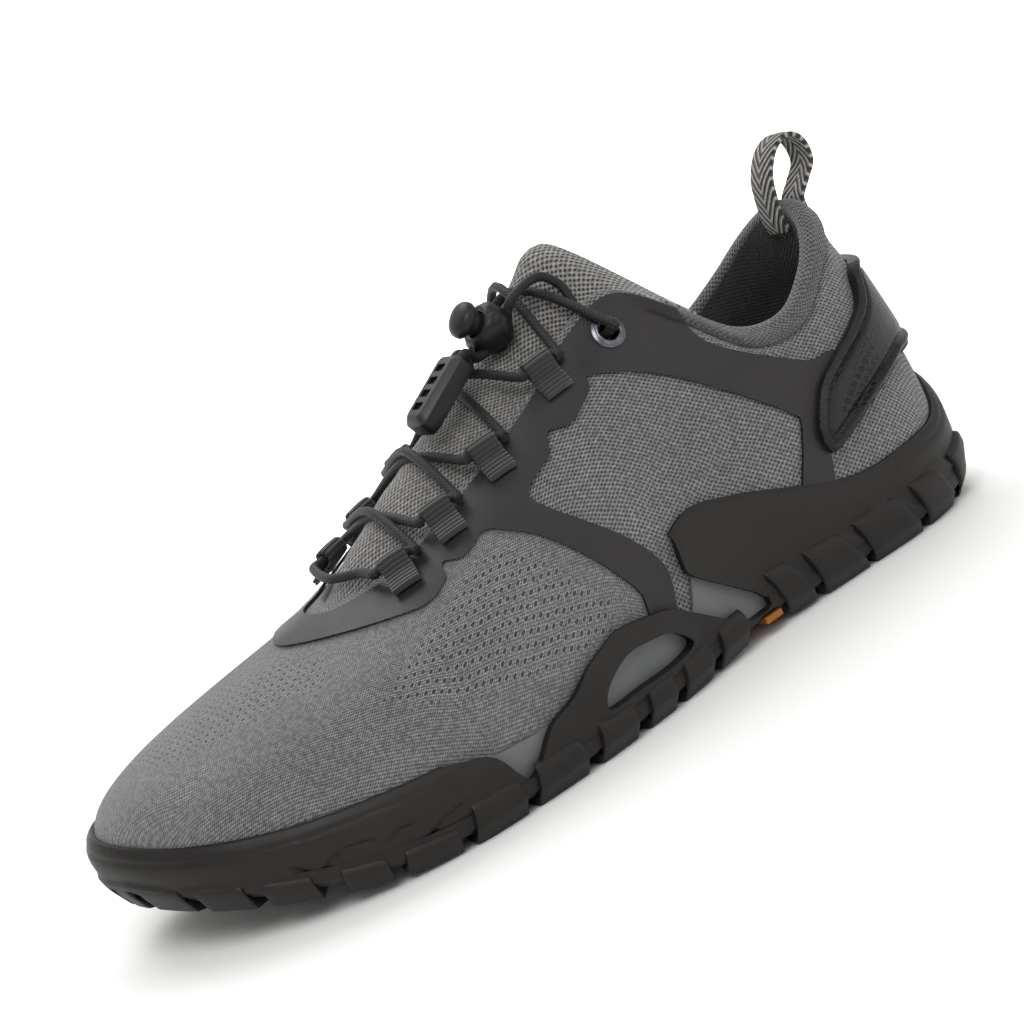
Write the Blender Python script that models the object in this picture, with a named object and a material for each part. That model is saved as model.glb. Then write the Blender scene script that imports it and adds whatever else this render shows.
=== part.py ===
"""Barefoot trail shoe, left foot, standing empty on its sole.

Metres, +Z up. The toe points to -X and the outer (lateral) side faces -Y.
The origin lies on the floor under the middle of the heel.
Along runs from the back of the heel to the toe, across from the lateral to the medial side.
A station counts the rows of SECTIONS, from 0 at the heel over the lateral side to 15 at the toe
and back along the medial side. Rise is the height of a skin point above its foot on the sole.
"""

import math

import bmesh
import bpy
from mathutils import Vector

# Driving sizes
LENGTH = 0.285
BALL_WIDTH = 0.099
HEEL_WIDTH = 0.066
INSTEP_HEIGHT = 0.106
HEEL_HEIGHT = 0.099
ORIGIN_FROM_HEEL = 0.035

# Layers, from the floor up and from the skin out
LUG_DEPTH = 0.0034
OUTSOLE_PLATE = 0.0024
MIDSOLE_PLATE = 0.0028
INSOLE_THICKNESS = 0.003
UPPER_WALL = 0.002
COLLAR_WALL = 0.006
# The padding: stations from the heel to where it ends and its fade, then its lowest rise and fade
COLLAR_REACH = (4.6, 1.6)
COLLAR_DEPTH = (0.66, 0.22)
TONGUE_THICKNESS = 0.0025
FILM_THICKNESS = 0.0008
RAND_THICKNESS = 0.002
GAP = 0.0003
SEAT = LUG_DEPTH + OUTSOLE_PLATE + GAP + MIDSOLE_PLATE + GAP
FILM_OUTSIDE = GAP + FILM_THICKNESS
RAND_INSIDE = FILM_OUTSIDE + GAP
RAND_OUTSIDE = RAND_INSIDE + RAND_THICKNESS

# Floor line of the sole
TOE_SPRING = 0.016
TOE_SPRING_START = 0.72
HEEL_BEVEL = 0.0064
HEEL_BEVEL_END = 0.07
ARCH_RISE = 0.0022
ARCH_CENTRE = 0.354
ARCH_REACH = 0.126
# Shares of the length where the ball's width and the instep's height take over from the heel's
WIDTH_CHANGE = (0.20, 0.35)
HEIGHT_CHANGE = (0.12, 0.22)
LIP_ROUNDING = 0.35
SMALL_STEP = 0.02
SHARP_ANGLE = math.radians(50)

# One row per section, from the heel over the lateral side to the toe and back; section() uses them
# Columns: base along, base across, top along, top across, top height, lean, rise, reach, drop, rand
# Along is in LENGTH, across in the local width, top height in the local height, lean and reach in
# BALL_WIDTH, rise, drop and the height of the rubber's top line in INSTEP_HEIGHT
SECTIONS = (
    (0.011, 0.000, 0.053, 0.000, 1.000, 0.025, 0.32, 0.070, 0.28, 0.377),
    (0.019, -0.197, 0.061, -0.167, 0.980, 0.030, 0.31, 0.060, 0.27, 0.340),
    (0.049, -0.356, 0.084, -0.295, 0.924, 0.035, 0.29, 0.050, 0.26, 0.259),
    (0.112, -0.455, 0.123, -0.386, 0.838, 0.045, 0.26, 0.035, 0.23, 0.245),
    (0.189, -0.477, 0.179, -0.447, 0.753, 0.050, 0.25, 0.030, 0.23, 0.250),
    (0.274, -0.466, 0.242, -0.453, 0.766, 0.050, 0.25, 0.050, 0.23, 0.316),
    (0.354, -0.433, 0.302, -0.371, 0.901, 0.050, 0.26, 0.090, 0.22, 0.387),
    (0.435, -0.419, 0.354, -0.276, 1.000, 0.060, 0.27, 0.140, 0.18, 0.425),
    (0.516, -0.433, 0.414, -0.245, 0.952, 0.065, 0.26, 0.170, 0.14, 0.330),
    (0.593, -0.460, 0.481, -0.235, 0.850, 0.065, 0.24, 0.200, 0.12, 0.274),
    (0.670, -0.470, 0.547, -0.230, 0.770, 0.060, 0.22, 0.230, 0.11, 0.231),
    (0.747, -0.460, 0.611, -0.213, 0.695, 0.055, 0.20, 0.285, 0.11, 0.222),
    (0.828, -0.409, 0.667, -0.158, 0.626, 0.055, 0.20, 0.375, 0.12, 0.236),
    (0.902, -0.298, 0.700, -0.071, 0.599, 0.065, 0.21, 0.485, 0.14, 0.257),
    (0.961, -0.131, 0.712, -0.010, 0.590, 0.080, 0.22, 0.565, 0.15, 0.292),
    (0.991, 0.091, 0.714, 0.045, 0.590, 0.085, 0.23, 0.625, 0.16, 0.325),
    (0.979, 0.273, 0.707, 0.101, 0.590, 0.085, 0.23, 0.565, 0.17, 0.330),
    (0.930, 0.389, 0.688, 0.152, 0.594, 0.070, 0.22, 0.425, 0.17, 0.302),
    (0.853, 0.455, 0.654, 0.187, 0.627, 0.055, 0.21, 0.315, 0.16, 0.264),
    (0.765, 0.470, 0.604, 0.207, 0.679, 0.050, 0.21, 0.255, 0.15, 0.236),
    (0.681, 0.449, 0.544, 0.217, 0.745, 0.055, 0.22, 0.210, 0.14, 0.231),
    (0.596, 0.394, 0.484, 0.229, 0.816, 0.065, 0.25, 0.180, 0.14, 0.274),
    (0.516, 0.331, 0.421, 0.248, 0.896, 0.070, 0.27, 0.140, 0.15, 0.330),
    (0.435, 0.303, 0.361, 0.292, 0.958, 0.075, 0.29, 0.100, 0.18, 0.425),
    (0.354, 0.320, 0.305, 0.362, 0.891, 0.075, 0.28, 0.060, 0.22, 0.387),
    (0.274, 0.380, 0.244, 0.438, 0.776, 0.065, 0.26, 0.020, 0.23, 0.316),
    (0.189, 0.432, 0.179, 0.439, 0.758, 0.055, 0.25, 0.020, 0.23, 0.250),
    (0.112, 0.424, 0.123, 0.386, 0.838, 0.045, 0.26, 0.030, 0.23, 0.245),
    (0.049, 0.341, 0.084, 0.295, 0.924, 0.035, 0.29, 0.050, 0.26, 0.259),
    (0.019, 0.189, 0.061, 0.167, 0.980, 0.030, 0.31, 0.060, 0.27, 0.340),
)
STATIONS = len(SECTIONS)
TOE_STATION = STATIONS // 2
# Columns of the faceted solids, closer together round the heel and the toe
COLUMN_SPANS = ((0, 1, 3), (1, 14, 2), (14, 16, 3), (16, 29, 2), (29, 30, 3))
COLUMNS = [
    first + k / steps for first, last, steps in COLUMN_SPANS for k in range((last - first) * steps)
]
SKIN_ROWS = (0.0, 0.12, 0.26, 0.42, 0.60, 0.78, 0.94, 1.0)
LINING_ROWS = (1.0, 0.94, 0.78, 0.60, 0.26, 0.0)
RAND_ROWS = (0.3, 0.6, 0.86)
FILM_ROWS = SKIN_ROWS[1:-1]
CLIP_ROWS = SKIN_ROWS[3:-1]


def ease(t):
    """0 below 0, 1 above 1, and smooth between."""
    t = min(1.0, max(0.0, t))
    return t * t * (3 - 2 * t)


def smooth_row(rows, place, closed=True):
    """The columns of a table at a place between its rows, on a Catmull-Rom curve."""
    count = len(rows)
    low = math.floor(place)
    t = place - low
    if closed:
        a, b, c, d = (rows[(low + k) % count] for k in (-1, 0, 1, 2))
    else:
        a, b, c, d = (rows[min(count - 1, max(0, low + k))] for k in (-1, 0, 1, 2))
    return [
        0.5 * (2 * q + (r - p) * t + (2 * p - 5 * q + 4 * r - s) * t**2 + (3 * q - p - 3 * r + s) * t**3)
        for p, q, r, s in zip(a, b, c, d)
    ]


def local_width(share):
    """Width of the last at a share of the length, between heel and ball."""
    start, span = WIDTH_CHANGE
    return HEEL_WIDTH + (BALL_WIDTH - HEEL_WIDTH) * ease((share - start) / span)


def local_height(share):
    """Height that the opening's heights are shares of, between heel and instep."""
    start, span = HEIGHT_CHANGE
    return HEEL_HEIGHT + (INSTEP_HEIGHT - HEEL_HEIGHT) * ease((share - start) / span)


def floor_rise(share):
    """How far the sole lies above the floor: toe spring, heel bevel and arch."""
    toe = max(0.0, share - TOE_SPRING_START) / (1 - TOE_SPRING_START)
    heel = max(0.0, HEEL_BEVEL_END - share) / HEEL_BEVEL_END
    arch = ease(1 - abs(share - ARCH_CENTRE) / ARCH_REACH)
    return TOE_SPRING * toe**2 + HEEL_BEVEL * heel**2 + ARCH_RISE * arch


def place(share, across, height):
    """World point from a share of the length, an across distance and a height."""
    return Vector((ORIGIN_FROM_HEEL - share * LENGTH, across, height))


def free_point(along, across, height):
    """World point from shares of the length, the ball's width and the instep's height."""
    return place(along, across * BALL_WIDTH, height * INSTEP_HEIGHT)


def outward(station):
    """Level direction that points out of the sole's outline."""
    step = 0.01
    a = smooth_row(SECTIONS, station - step)
    b = smooth_row(SECTIONS, station + step)
    tangent = place(b[0], b[1] * local_width(b[0]), 0) - place(a[0], a[1] * local_width(a[0]), 0)
    return Vector((-tangent.y, tangent.x, 0)).normalized()


def foot_point(station, out, height):
    """A point beside the sole's outline, at a height above the sole's own floor line."""
    row = smooth_row(SECTIONS, station)
    point = place(row[0], row[1] * local_width(row[0]), height) + outward(station) * out
    point.z += floor_rise((ORIGIN_FROM_HEEL - point.x) / LENGTH)
    return point


def section(station):
    """The four control points of the skin's curve from the sole to the opening."""
    row = smooth_row(SECTIONS, station)
    along, across, top_along, top_across, top_height, lean, rise, reach, drop, _ = row
    out = outward(station)
    base = place(along, across * local_width(along), SEAT + floor_rise(along))
    top = place(top_along, top_across * local_width(top_along), top_height * local_height(top_along))
    lower = base + out * lean * BALL_WIDTH + Vector((0, 0, rise * INSTEP_HEIGHT))
    upper = top + out * reach * BALL_WIDTH - Vector((0, 0, drop * INSTEP_HEIGHT))
    return base, lower, upper, top


def bare_skin(station, rise):
    """Point on the upper's outer face; rise goes from 0 at the sole to 1 at the opening."""
    base, lower, upper, top = section(station)
    left = 1 - rise
    return (
        base * left**3 + lower * 3 * left**2 * rise + upper * 3 * left * rise**2 + top * rise**3
    )


def skin_normal(station, rise):
    """Outward normal of the upper's outer face."""
    step = 0.002
    around = bare_skin(station + step * 5, rise) - bare_skin(station - step * 5, rise)
    up = bare_skin(station, min(1, rise + step)) - bare_skin(station, max(0, rise - step))
    return up.cross(around).normalized()


def skin(station, rise, offset=0.0):
    """Point at a distance outside the upper's outer face."""
    point = bare_skin(station, rise)
    if offset:
        point += skin_normal(station, rise) * offset
    return point


def from_heel(station):
    """Stations from the back of the heel, whichever side it is on."""
    return min(station % STATIONS, STATIONS - station % STATIONS)


def wall(station, rise):
    """Thickness of the upper: a thin knit, padded round the collar."""
    end, end_fade = COLLAR_REACH
    low, low_fade = COLLAR_DEPTH
    collar = (1 - ease((from_heel(station) - end) / end_fade)) * ease((rise - low) / low_fade)
    return UPPER_WALL + (COLLAR_WALL - UPPER_WALL) * collar


def rise_at_height(station, height):
    """The rise where the skin reaches a height, by halving."""
    low, high = 0.0, 1.0
    for _ in range(30):
        middle = (low + high) / 2
        if bare_skin(station, middle).z < height:
            low = middle
        else:
            high = middle
    return (low + high) / 2


def rand_rise(station, lower=0.0):
    """The rise of the rubber's top line, or of a line a distance below it."""
    return rise_at_height(station, smooth_row(SECTIONS, station)[9] * INSTEP_HEIGHT - lower)


def material(name, colour, roughness, metallic=0.0):
    """A plain Principled material from an sRGB colour."""
    result = bpy.data.materials.new(name)
    result.use_nodes = True
    shader = result.node_tree.nodes["Principled BSDF"]
    linear = [((c / 255 + 0.055) / 1.055) ** 2.4 if c > 10 else c / 255 / 12.92 for c in colour]
    shader.inputs["Base Color"].default_value = (*linear, 1.0)
    shader.inputs["Roughness"].default_value = roughness
    shader.inputs["Metallic"].default_value = metallic
    result.diffuse_color = (*linear, 1.0)
    return result


def split_quads(points, faces):
    """Triangles in place of quads, cut the same way on every layer so that layers stay apart."""
    triangles = []
    for face in faces:
        if len(face) != 4:
            triangles.append(face)
            continue
        a, b, c, d = face
        if points[a].z <= points[d].z:
            triangles += [(a, b, c), (a, c, d)]
        else:
            triangles += [(a, b, d), (b, c, d)]
    return triangles


def solid(name, points, faces, finish=None):
    """One object from points and faces, with every face turned outward."""
    mesh = bpy.data.meshes.new(name)
    mesh.from_pydata([tuple(p) for p in points], [], split_quads(points, faces))
    shape = bmesh.new()
    shape.from_mesh(mesh)
    bmesh.ops.recalc_face_normals(shape, faces=shape.faces)
    shape.to_mesh(mesh)
    shape.free()
    result = bpy.data.objects.new(name, mesh)
    bpy.context.scene.collection.objects.link(result)
    if finish:
        mesh.materials.append(finish)
    return result


def shade_smooth(piece):
    """Smooth shading for a round piece, apart from its sharp edges."""
    for face in piece.data.polygons:
        face.use_smooth = True
    piece.data.set_sharp_from_angle(angle=SHARP_ANGLE)
    return piece


def strip_faces(first, second, count, closed=True):
    """Quads between two loops of points that start at the given indices."""
    last = count if closed else count - 1
    return [
        (first + k, first + (k + 1) % count, second + (k + 1) % count, second + k)
        for k in range(last)
    ]


def ring_solid(name, loops, finish, floors=False):
    """A solid from closed loops round the foot.

    Without floors the last loop joins the first, as in a wall. With floors the first and the
    last loop are each filled across the foot, lateral to medial side, as in a tray or a plate.
    """
    count = len(loops[0])
    points = [p for loop in loops for p in loop]
    faces = []
    for k in range(len(loops) - 1):
        faces += strip_faces(k * count, (k + 1) * count, count)
    if floors:
        for start in (0, (len(loops) - 1) * count):
            faces += floor_faces(start, count)
    else:
        faces += strip_faces((len(loops) - 1) * count, 0, count)
    return solid(name, points, faces, finish)


def floor_faces(start, count):
    """Faces across the foot, from each lateral point to the medial point across from it."""
    faces = [(start, start + 1, start + count - 1)]
    for k in range(1, count // 2 - 1):
        faces.append((start + k, start + k + 1, start + count - k))
        faces.append((start + k + 1, start + count - k - 1, start + count - k))
    faces.append((start + count // 2 - 1, start + count // 2, start + count // 2 + 1))
    return faces


def patch_solid(name, rows, thickness_rows, finish):
    """A solid between two open grids of points with the same size."""
    height, width = len(rows), len(rows[0])
    points = [p for row in rows for p in row] + [p for row in thickness_rows for p in row]
    under = height * width
    faces = []
    for start in (0, under):
        for k in range(height - 1):
            faces += strip_faces(start + k * width, start + (k + 1) * width, width, closed=False)
    edge = [k for k in range(width)]
    edge += [k * width + width - 1 for k in range(1, height)]
    edge += [(height - 1) * width + k for k in range(width - 2, -1, -1)]
    edge += [k * width for k in range(height - 2, 0, -1)]
    for a, b in zip(edge, edge[1:] + edge[:1]):
        faces.append((a, b, under + b, under + a))
    return solid(name, points, faces, finish)


def prism(name, outline, half_width):
    """A cutter that runs across the shoe, from an outline of length and height shares."""
    count = len(outline)
    points = [
        place(along, side * half_width, height * INSTEP_HEIGHT)
        for side in (-1, 1)
        for along, height in outline
    ]
    faces = [tuple(range(count)), tuple(range(count, 2 * count))]
    faces += strip_faces(0, count, count)
    cutter = solid(name, points, faces)
    cutter.hide_render = True
    cutter.display_type = "WIRE"
    return cutter


def boolean(target, other, operation):
    """Cut, keep or join with another solid, which stays as a guide."""
    modifier = target.modifiers.new(other.name, "BOOLEAN")
    modifier.solver = "EXACT"
    modifier.operation = operation
    modifier.object = other
    other.hide_render = True
    other.display_type = "WIRE"


def tube(name, path, radius, sides, finish):
    """A round tube with flat ends along a list of points."""
    points = []
    across = None
    for k, point in enumerate(path):
        ahead = (path[min(k + 1, len(path) - 1)] - path[max(k - 1, 0)]).normalized()
        if across is None:
            across = ahead.orthogonal().normalized()
        across = (across - ahead * across.dot(ahead)).normalized()
        other = ahead.cross(across)
        for side in range(sides):
            angle = 2 * math.pi * side / sides
            points.append(point + across * radius * math.cos(angle) + other * radius * math.sin(angle))
    faces = [tuple(range(sides)), tuple(range(len(points) - sides, len(points)))]
    for k in range(len(path) - 1):
        faces += strip_faces(k * sides, (k + 1) * sides, sides)
    return shade_smooth(solid(name, points, faces, finish))


def smooth_path(points, steps):
    """A smooth curve through points, with a number of steps between each two."""
    return [
        Vector(smooth_row(points, k / steps, closed=False))
        for k in range((len(points) - 1) * steps + 1)
    ]


# Side outlines, seen along +Y, in shares of LENGTH and INSTEP_HEIGHT
ABOVE = 1.4
RAND_TRIM = (
    (0.436, ABOVE), (0.434, 0.386), (0.436, 0.325), (0.427, 0.275), (0.348, 0.104), (0.379, 0.082),
    (0.443, 0.195), (0.467, 0.241), (0.500, 0.267), (0.538, 0.283), (0.559, 0.270), (0.585, 0.246),
    (0.613, 0.203), (0.646, 0.171), (0.681, 0.082), (0.708, 0.180), (0.730, 0.206), (0.760, 0.229),
    (0.760, ABOVE),
)
ARCH_WINDOW = (
    (0.581, 0.122), (0.575, 0.176), (0.543, 0.219), (0.511, 0.214), (0.482, 0.194), (0.460, 0.136),
    (0.487, 0.117), (0.537, 0.119),
)
MIDSOLE_TRIM = (
    (0.340, ABOVE), (0.340, 0.360), (0.415, 0.330), (0.427, 0.277), (0.441, 0.190), (0.460, 0.195),
    (0.483, 0.215), (0.500, 0.232), (0.538, 0.250), (0.575, 0.222), (0.612, 0.178), (0.646, 0.170),
    (0.708, 0.179), (0.730, 0.170), (0.760, 0.185), (0.760, ABOVE),
)
FILM_OUTLINE = (
    (0.800, ABOVE), (0.800, 0.559), (0.702, 0.557), (0.685, 0.558), (0.670, 0.569), (0.654, 0.592),
    (0.650, 0.608), (0.644, 0.620), (0.633, 0.614), (0.618, 0.626), (0.600, 0.645), (0.585, 0.625),
    (0.563, 0.581), (0.533, 0.488), (0.506, 0.385), (0.492, 0.315), (0.490, 0.236), (0.454, 0.210),
    (0.457, 0.235), (0.451, 0.320), (0.461, 0.390), (0.485, 0.475), (0.514, 0.554), (0.540, 0.628),
    (0.546, 0.673), (0.518, 0.711), (0.505, 0.726), (0.492, 0.770), (0.484, 0.771), (0.468, 0.766),
    (0.447, 0.794), (0.431, 0.822), (0.426, 0.845), (0.412, 0.835), (0.386, 0.807), (0.349, 0.749),
    (0.297, 0.640), (0.263, 0.563), (0.235, 0.492), (0.229, 0.453), (0.257, 0.309), (0.258, 0.280),
    (0.222, 0.252), (0.213, 0.300), (0.205, 0.370), (0.180, 0.430), (0.155, 0.520), (0.148, 0.570),
    (0.159, 0.580), (0.182, 0.585), (0.216, 0.635), (0.256, 0.701), (0.289, 0.773), (0.300, 0.840),
    (0.310, ABOVE),
)
CLIP_OUTLINE = (
    (-0.060, 0.735), (0.060, 0.735), (0.075, 0.715), (0.086, 0.660), (0.098, 0.630), (0.127, 0.593),
    (0.158, 0.559), (0.185, 0.523), (0.201, 0.478), (0.215, 0.412), (0.212, 0.354), (0.202, 0.344),
    (0.170, 0.371), (0.134, 0.407), (0.090, 0.443), (0.066, 0.462), (-0.060, 0.462),
)

CLIP_REACH = 5.0

# Outsole
TREAD_EDGE = 0.0006
SOLE_EDGE_LOW = 0.0036
SOLE_EDGE_OUT = 0.0042
SOLE_EDGE_HEIGHT = 0.0054
RAND_FOOT_OUT = 0.004
LUG_INNER = -0.011
LUG_ROOT = 0.0006
LUG_OUT = 0.0012
EDGE_LUG_TOP = 0.0098
# Stations where each lateral edge lug starts and ends; the medial side mirrors them
EDGE_LUGS = (
    (1.20, 2.10), (2.35, 3.05), (3.20, 4.10), (4.20, 4.95), (5.10, 5.60), (6.40, 6.95), (7.10, 7.65),
    (7.80, 8.30), (8.50, 9.15), (9.35, 10.15), (10.30, 11.05), (11.20, 11.85), (12.00, 12.50),
    (12.75, 13.30), (13.45, 14.00), (14.15, 14.70),
)
HEEL_LUG = (-0.60, 0.60)
TOE_LUG = (14.85, 15.15)
INNER_LUG_LENGTH = 0.0100
INNER_LUG_WIDTH = 0.0115
INNER_LUG_TURN = 0.35
INNER_LUG_TAPER = 0.85
INNER_LUG_ROWS = (
    0.120, 0.180, 0.240, 0.460, 0.520, 0.580, 0.640, 0.700, 0.760, 0.820, 0.880,
)
INNER_LUG_MARGIN = 0.0135
INNER_LUG_PITCH = 0.0165
INSERT_SHARES = (0.338, 0.361)
POCKET_RUN_OUT = 20
INSERT_BELOW = 0.001
INSERT_INSIDE = 0.0008

# Opening, loops, lace and its lock
EYELET_STATION = 7.42
EYELET_RISE = 0.86
EYELET_BORE = 0.0024
EYELET_BARREL = 0.0031
EYELET_FLANGE = 0.0043
EYELET_INNER_FLANGE = 0.0041
EYELET_LIP = 0.0006
EYELET_SIDES = 12
EYELET_SEAT = 0.0008
LOOP_STATIONS = (11.86, 10.97, 9.94, 8.59)
LOOP_RISE = 0.87
LOOP_LENGTH = 0.0125
LOOP_WIDTH = 0.0085
WEBBING = 0.0009
LACE_RADIUS = 0.00135
LACE_SIDES = 6
TUNNEL = LACE_RADIUS + GAP
LACE_LIFT = 2 * LACE_RADIUS + GAP
TOP_LIFT = 0.0012
TONGUE_CLEARANCE = 0.0012
LACE_ROOM = 0.0034
LACE_ROOM_STATION = 7.3
LACE_ROOM_REACH = 2.2
LOOP_SEAT = 0.0007
TONGUE_TO_LACE = 0.0012
EYELET_EXIT = RAND_OUTSIDE + 2 * LACE_RADIUS + 0.0001
# Points of the lace through a loop, in half widths of the loop from its middle
LACE_IN_LOOP = (-1.5, -1.1, 1.1, 1.5)
# Top of a loop's fold behind its arc, then the floor and the roof of its hole behind the arc:
# each in shares of the hub's distance and in thicknesses of the webbing
FOLD_TOP = ((0.5, 2.2), (0.0, 1.6))
HOLE_FLOOR = ((0.62, 1.0), (0.8, 1.0))
HOLE_ROOF = ((0.74, 2.5), (0.62, 1.35))
# The points below are along in LENGTH, across in BALL_WIDTH and height in INSTEP_HEIGHT
FRONT_BAR = ((0.690, -0.1061, 0.6462), (0.700, 0.0303, 0.6415), (0.690, 0.1667, 0.6509))
# Station where each lace end comes from under the edge, and its free points up to the lock
LACE_ENDS = {
    "lateral": (7.5, (
        (0.3790, -0.1667, 1.0094), (0.3800, -0.1434, 1.0585), (0.3980, -0.1293, 1.1000),
        (0.4340, -0.1273, 1.0755),
    )),
    "medial": (22.2, (
        (0.4090, 0.1869, 0.9358), (0.4180, 0.1313, 1.0302), (0.4320, 0.0707, 1.0585),
        (0.4420, 0.0283, 1.0509),
    )),
}
LOCK_CENTRE = (0.4555, -0.0606, 1.0292)
END_CLIP_CENTRE = (0.5375, -0.0859, 0.9472)
# Where the cords leave the lock, and their clearances to the lock and to the end clip
CORD_LEAVES = Vector((-0.45, 0.0, -0.9)).normalized()
LOCK_TO_CORD = 0.0018
CLIP_TO_CORD = 0.0012
CORD_BEND = 0.0004
LOCK_AXIS = Vector((-0.75, 0.0, 0.66)).normalized()
LOCK_RADIUS = 0.0068
LOCK_BACK = 0.007
LOCK_FRONT = 0.0042
BUTTON_STEM = 0.0034
BUTTON_RADIUS = 0.0052
BUTTON_TRAVEL = 0.0025
BUTTON_CAP = 0.0036
LOCK_SIDES = 14
# The bulb behind and in front of its widest place, in shares of its radius and of each depth
LOCK_BACK_LINE = ((0.55, -0.86), (0.9, -0.5), (1.0, 0.0))
LOCK_FRONT_LINE = ((0.95, 0.6), (0.82, 1.0))
BORE_DEPTH = 0.4
END_CLIP_LENGTH = 0.023
END_CLIP_WIDTH = 0.011
END_CLIP_HEIGHT = 0.0066
END_CLIP_SLOPE = 0.53
# Height, width and length of the clip's levels, in shares of its sizes, and one level's corners
CLIP_LEVELS = ((-0.5, 0.80, 0.92), (-0.32, 1.0, 1.0), (0.22, 1.0, 1.0), (0.5, 0.62, 0.86))
CLIP_CORNERS = (
    (-1, -0.8), (-0.86, -1), (0.86, -1), (1, -0.8), (1, 0.8), (0.86, 1), (-0.86, 1), (-1, 0.8),
)

# Pull loop, whose free points are along in LENGTH and height in HEEL_HEIGHT
STRAP_WIDTH = 0.0095
STRAP_THICKNESS = 0.0016
STRAP_SEAT = 0.0010
STRAP_LOOP = (
    (0.0450, 1.0051), (0.0310, 1.0455), (0.0170, 1.0909), (0.0190, 1.1566), (0.0350, 1.1899),
    (0.0560, 1.1667), (0.0720, 1.1061), (0.0775, 1.0404),
)
STRAP_OUTSIDE = (0.875, 0.92, 0.96)
STRAP_INSIDE = (0.985, 0.94)

# Lateral and medial station, then the tongue's ridge: along in LENGTH, across in BALL_WIDTH and
# height in INSTEP_HEIGHT
TONGUE_ROWS = (
    (13.4, 16.8, 0.733, 0.0303, 0.5425),
    (12.9, 17.4, 0.703, 0.0303, 0.5755),
    (12.2, 18.2, 0.674, 0.0202, 0.6415),
    (11.4, 19.0, 0.632, 0.0152, 0.7123),
    (10.5, 19.9, 0.582, 0.0101, 0.7877),
    (9.6, 20.8, 0.530, 0.0101, 0.8519),
    (8.8, 21.7, 0.481, 0.0101, 0.9226),
    (8.0, 22.6, 0.432, 0.0101, 1.0094),
    (7.2, 23.2, 0.389, 0.0152, 1.0802),
    (6.4, 23.8, 0.361, 0.0202, 1.1274),
    (5.7, 24.3, 0.344, 0.0202, 1.1462),
)
TONGUE_STEPS = 2
TONGUE_RISES = (0.8, 0.9, 1.0)

KNIT = material("grey_knit", (111, 111, 114), 0.9)
MESH = material("grey_mesh", (122, 121, 120), 0.9)
RUBBER = material("black_rubber", (46, 44, 42), 0.62)
FOAM = material("grey_foam", (107, 109, 112), 0.7)
FILM = material("black_film", (52, 50, 49), 0.45)
MOULDED = material("black_moulded", (44, 43, 43), 0.5)
WEB = material("black_webbing", (34, 33, 33), 0.85)
CORD = material("black_cord", (38, 37, 38), 0.7)
METAL = material("gunmetal", (58, 58, 62), 0.3, 1.0)
LINER = material("dark_lining", (44, 43, 44), 0.95)
ORANGE = material("orange_rubber", (181, 115, 42), 0.6)
STRAP = material("grey_herringbone", (120, 116, 112), 0.85)


def clear_scene():
    """Remove what the default scene holds."""
    for item in list(bpy.data.objects):
        bpy.data.objects.remove(item, do_unlink=True)


def upper():
    """The hollow knit upper, open at the collar and throat and where the sole closes it."""
    loops = [[skin(c, rise) for c in COLUMNS] for rise in SKIN_ROWS]
    lip = []
    for c in COLUMNS:
        edge = skin(c, 1.0)
        up = (edge - skin(c, 1.0 - SMALL_STEP)).normalized()
        lip.append(skin(c, 1.0, -wall(c, 1.0) / 2) + up * wall(c, 1.0) * LIP_ROUNDING)
    loops.append(lip)
    loops += [[skin(c, rise, -wall(c, rise)) for c in COLUMNS] for rise in LINING_ROWS]
    body = ring_solid("upper", loops, KNIT)
    for side in (-1, 1):
        boolean(body, eyelet_cutter(f"upper_hole_{side}", side), "DIFFERENCE")
    return body


def outsole():
    """The rubber tray: tread plate, side wall with the hood, wing and windows, and all lugs."""
    plate_top = LUG_DEPTH + OUTSOLE_PLATE
    tops = [rand_rise(c) for c in COLUMNS]
    loops = [
        [foot_point(c, TREAD_EDGE, LUG_DEPTH) for c in COLUMNS],
        [foot_point(c, SOLE_EDGE_LOW, SOLE_EDGE_HEIGHT) for c in COLUMNS],
        [foot_point(c, SOLE_EDGE_OUT, SEAT) for c in COLUMNS],
    ]
    for t in (0.5, 1.0):
        out = RAND_FOOT_OUT + (RAND_OUTSIDE - RAND_FOOT_OUT) * t
        loops.append([skin(c, top * t, out) for c, top in zip(COLUMNS, tops)])
    for t in (1.0, *reversed(RAND_ROWS), 0.0):
        loops.append([skin(c, top * t, RAND_INSIDE) for c, top in zip(COLUMNS, tops)])
    loops.append([foot_point(c, RAND_INSIDE, plate_top) for c in COLUMNS])
    body = ring_solid("outsole", loops, RUBBER, floors=True)
    boolean(body, prism("rand_trim", RAND_TRIM, BALL_WIDTH), "DIFFERENCE")
    boolean(body, prism("arch_window", ARCH_WINDOW, BALL_WIDTH), "DIFFERENCE")
    boolean(body, edge_lugs(), "UNION")
    boolean(body, inner_lugs(), "UNION")
    boolean(body, insert_block("insert_pocket", GAP), "DIFFERENCE")
    return body


def edge_lug(start, end):
    """Points and faces of one lug that wraps from the tread up the side of the sole."""
    side_out = SOLE_EDGE_OUT + LUG_OUT
    outline = (
        (LUG_INNER, 0.0), (TREAD_EDGE, 0.0), (side_out, LUG_DEPTH + OUTSOLE_PLATE),
        (side_out, EDGE_LUG_TOP), (RAND_FOOT_OUT - GAP, EDGE_LUG_TOP + 0.002),
        (RAND_INSIDE + LUG_ROOT, LUG_DEPTH + LUG_ROOT), (LUG_INNER, LUG_DEPTH + LUG_ROOT),
    )
    count = len(outline)
    points = [foot_point(s, out, height) for s in (start, end) for out, height in outline]
    faces = [tuple(range(count)), tuple(range(count, 2 * count))]
    return points, faces + strip_faces(0, count, count)


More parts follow.
